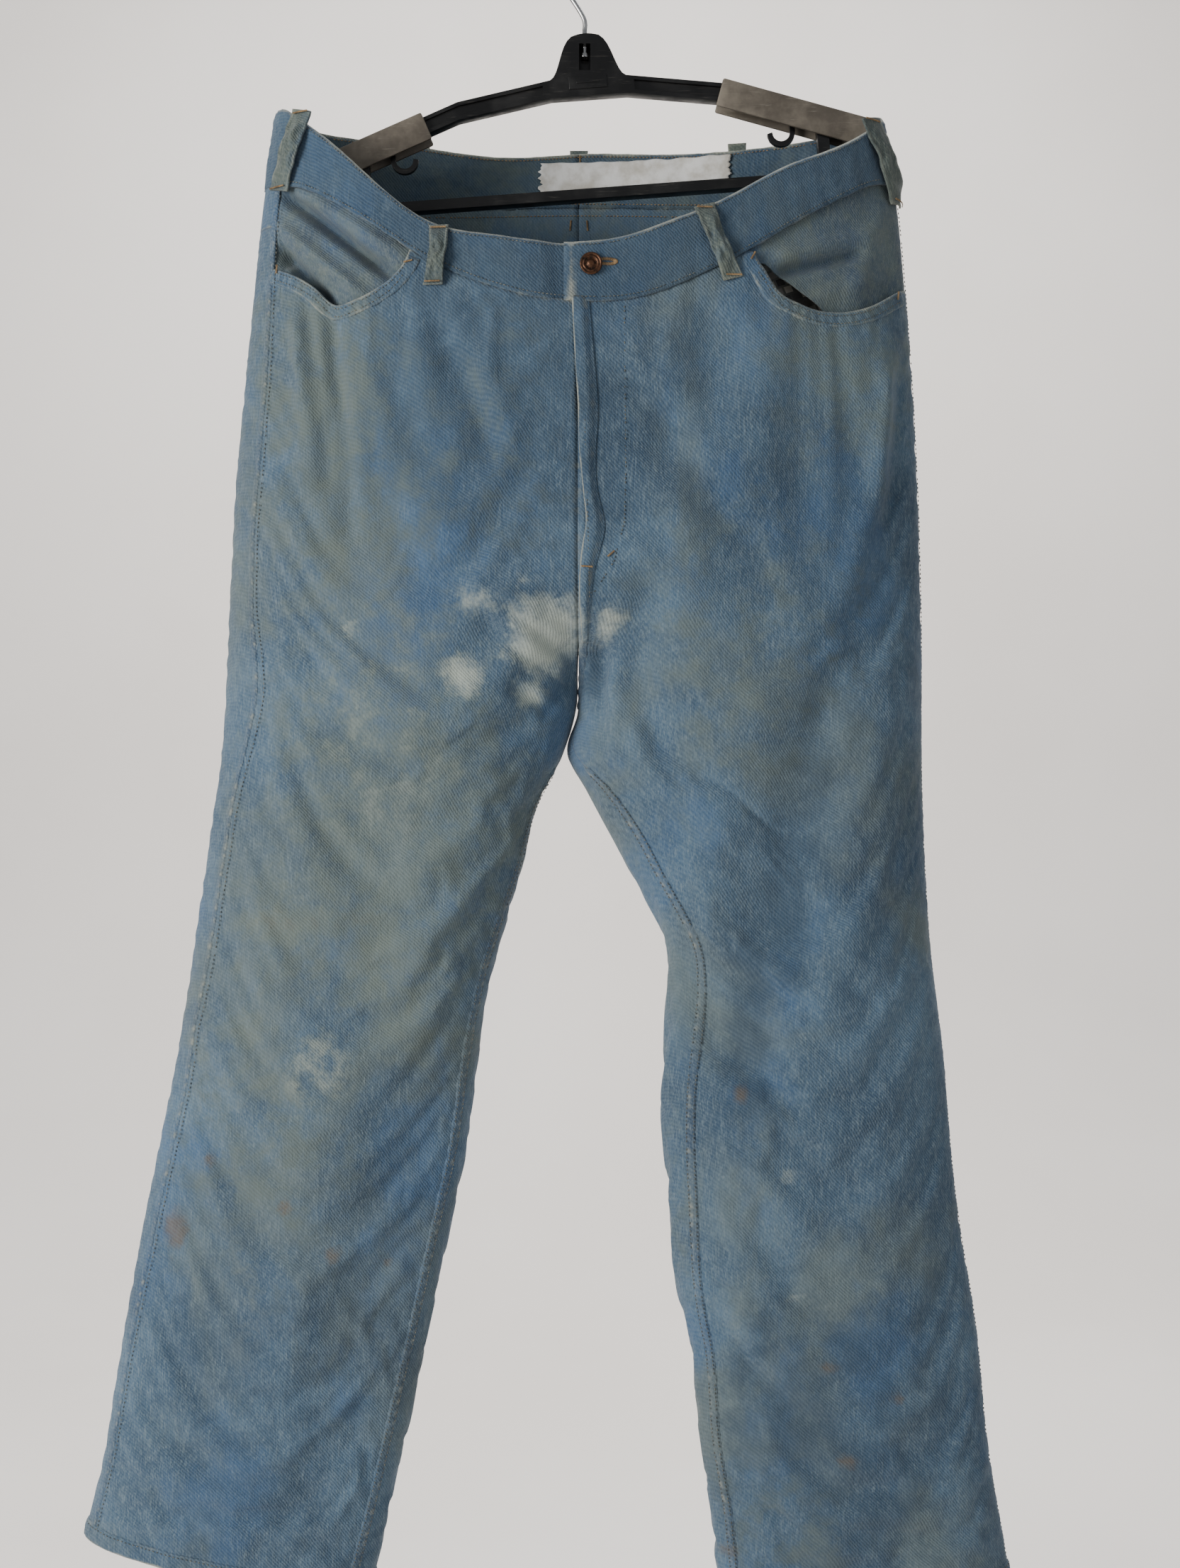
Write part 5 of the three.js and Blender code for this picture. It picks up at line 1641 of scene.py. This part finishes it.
tilt = math.radians(-4.2)
plastic_plate(
    "crown_back_plate", (0.001, 4.5 * MM, crown_top - 19 * MM), (17 * MM, 0.9 * MM, 30 * MM), tilt, 0.3 * MM)
plastic_plate(
    "crown_front_panel", (0.0025, -5.2 * MM, crown_top - 38.5 * MM), (30 * MM, 1.2 * MM, 10 * MM), tilt, 0.4 * MM)
plastic_plate(
    "crown_raised_line", (0.0025, -5.9 * MM, crown_top - 38.5 * MM), (18 * MM, 0.8 * MM, 1.6 * MM), tilt, 0.3 * MM)
sleeves = {}
for side, sign in (("right", -1), ("left", 1)):
    sleeve = rounded_copy(
        f"shoulder_sleeve_{side}", f"moulded_sleeve_{side}", 1.4 * MM, grey, f"sleeve_{side}")
    # Cut across every few millimetres, so that the outer end can taper and droop as a shoulder does.
    select_only(sleeve)
    low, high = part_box(f"shoulder_sleeve_{side}")
    for cut in np.linspace(0.08, 0.92, 22):
        bpy.ops.object.mode_set(mode="EDIT")
        bpy.ops.mesh.select_all(action="SELECT")
        bpy.ops.mesh.bisect(plane_co=(low[0] + cut * (high[0] - low[0]), 0, 0), plane_no=(1, 0, 0))
        bpy.ops.object.mode_set(mode="OBJECT")
    placed = corners(sleeve)
    outward = (placed[:, 0] - low[0]) / (high[0] - low[0])
    if sign < 0:
        outward = 1 - outward
    # The arm reaches further into the left sleeve when it is pushed in, so only its very end tapers.
    start = 0.6 if side == "right" else 0.92
    droop = ease(outward, start, 1.05) ** 1.6 * 1.6 * MM
    narrow = 1 - 0.12 * ease(outward, start, 1.05)
    placed[:, 2] -= droop
    placed[:, 1] *= narrow
    move_points(sleeve, placed)
    sleeves[side] = sleeve
rounded_copy("wire_hook", "bent_wire_hook", 0.1 * MM, wire, "hook", angle=60)
for node, finish in (
    ("button_tack", copper), ("zip_bottom_stop", brass), ("zip_pull_tab", brass), ("zip_slider", brass),
    ("zip_tape_left", tape), ("zip_tape_right", tape), ("zip_teeth_left", brass), ("zip_teeth_right", brass),
):
    cad_part = frame["nodes"][node]
    cad_part.data.materials.clear()
    cad_part.data.materials.append(finish.material)

# %% [markdown]
# ## Reading the finished pieces
# Each cloth piece's points are read once more at the end. Nothing is worked out from them. A
# cut size that is worked back from the finished piece: its measured area, its own length, and
# a guess at how much of a rectangle it fills.


def declare(piece):
    """Reads the finished mesh's points and keeps nothing. A flat size from the finished mesh: slim
    is the guessed share of the rectangle that it fills.
    """
    places = corners(piece)


for side in ("right", "left"):
    declare(panels["front", side])
    declare(panels["back", side])
    declare(yokes[side])
    declare(bands[side])
    declare(facings[side])
    declare(bags[side])
    declare(back_pockets[side])
    declare(hems[side])
for name, loop in loops.items():
    declare(loop)
declare(fly)
declare(shield)
declare(label)
for side, mouth in mouth_folds.items():
    declare(mouth)
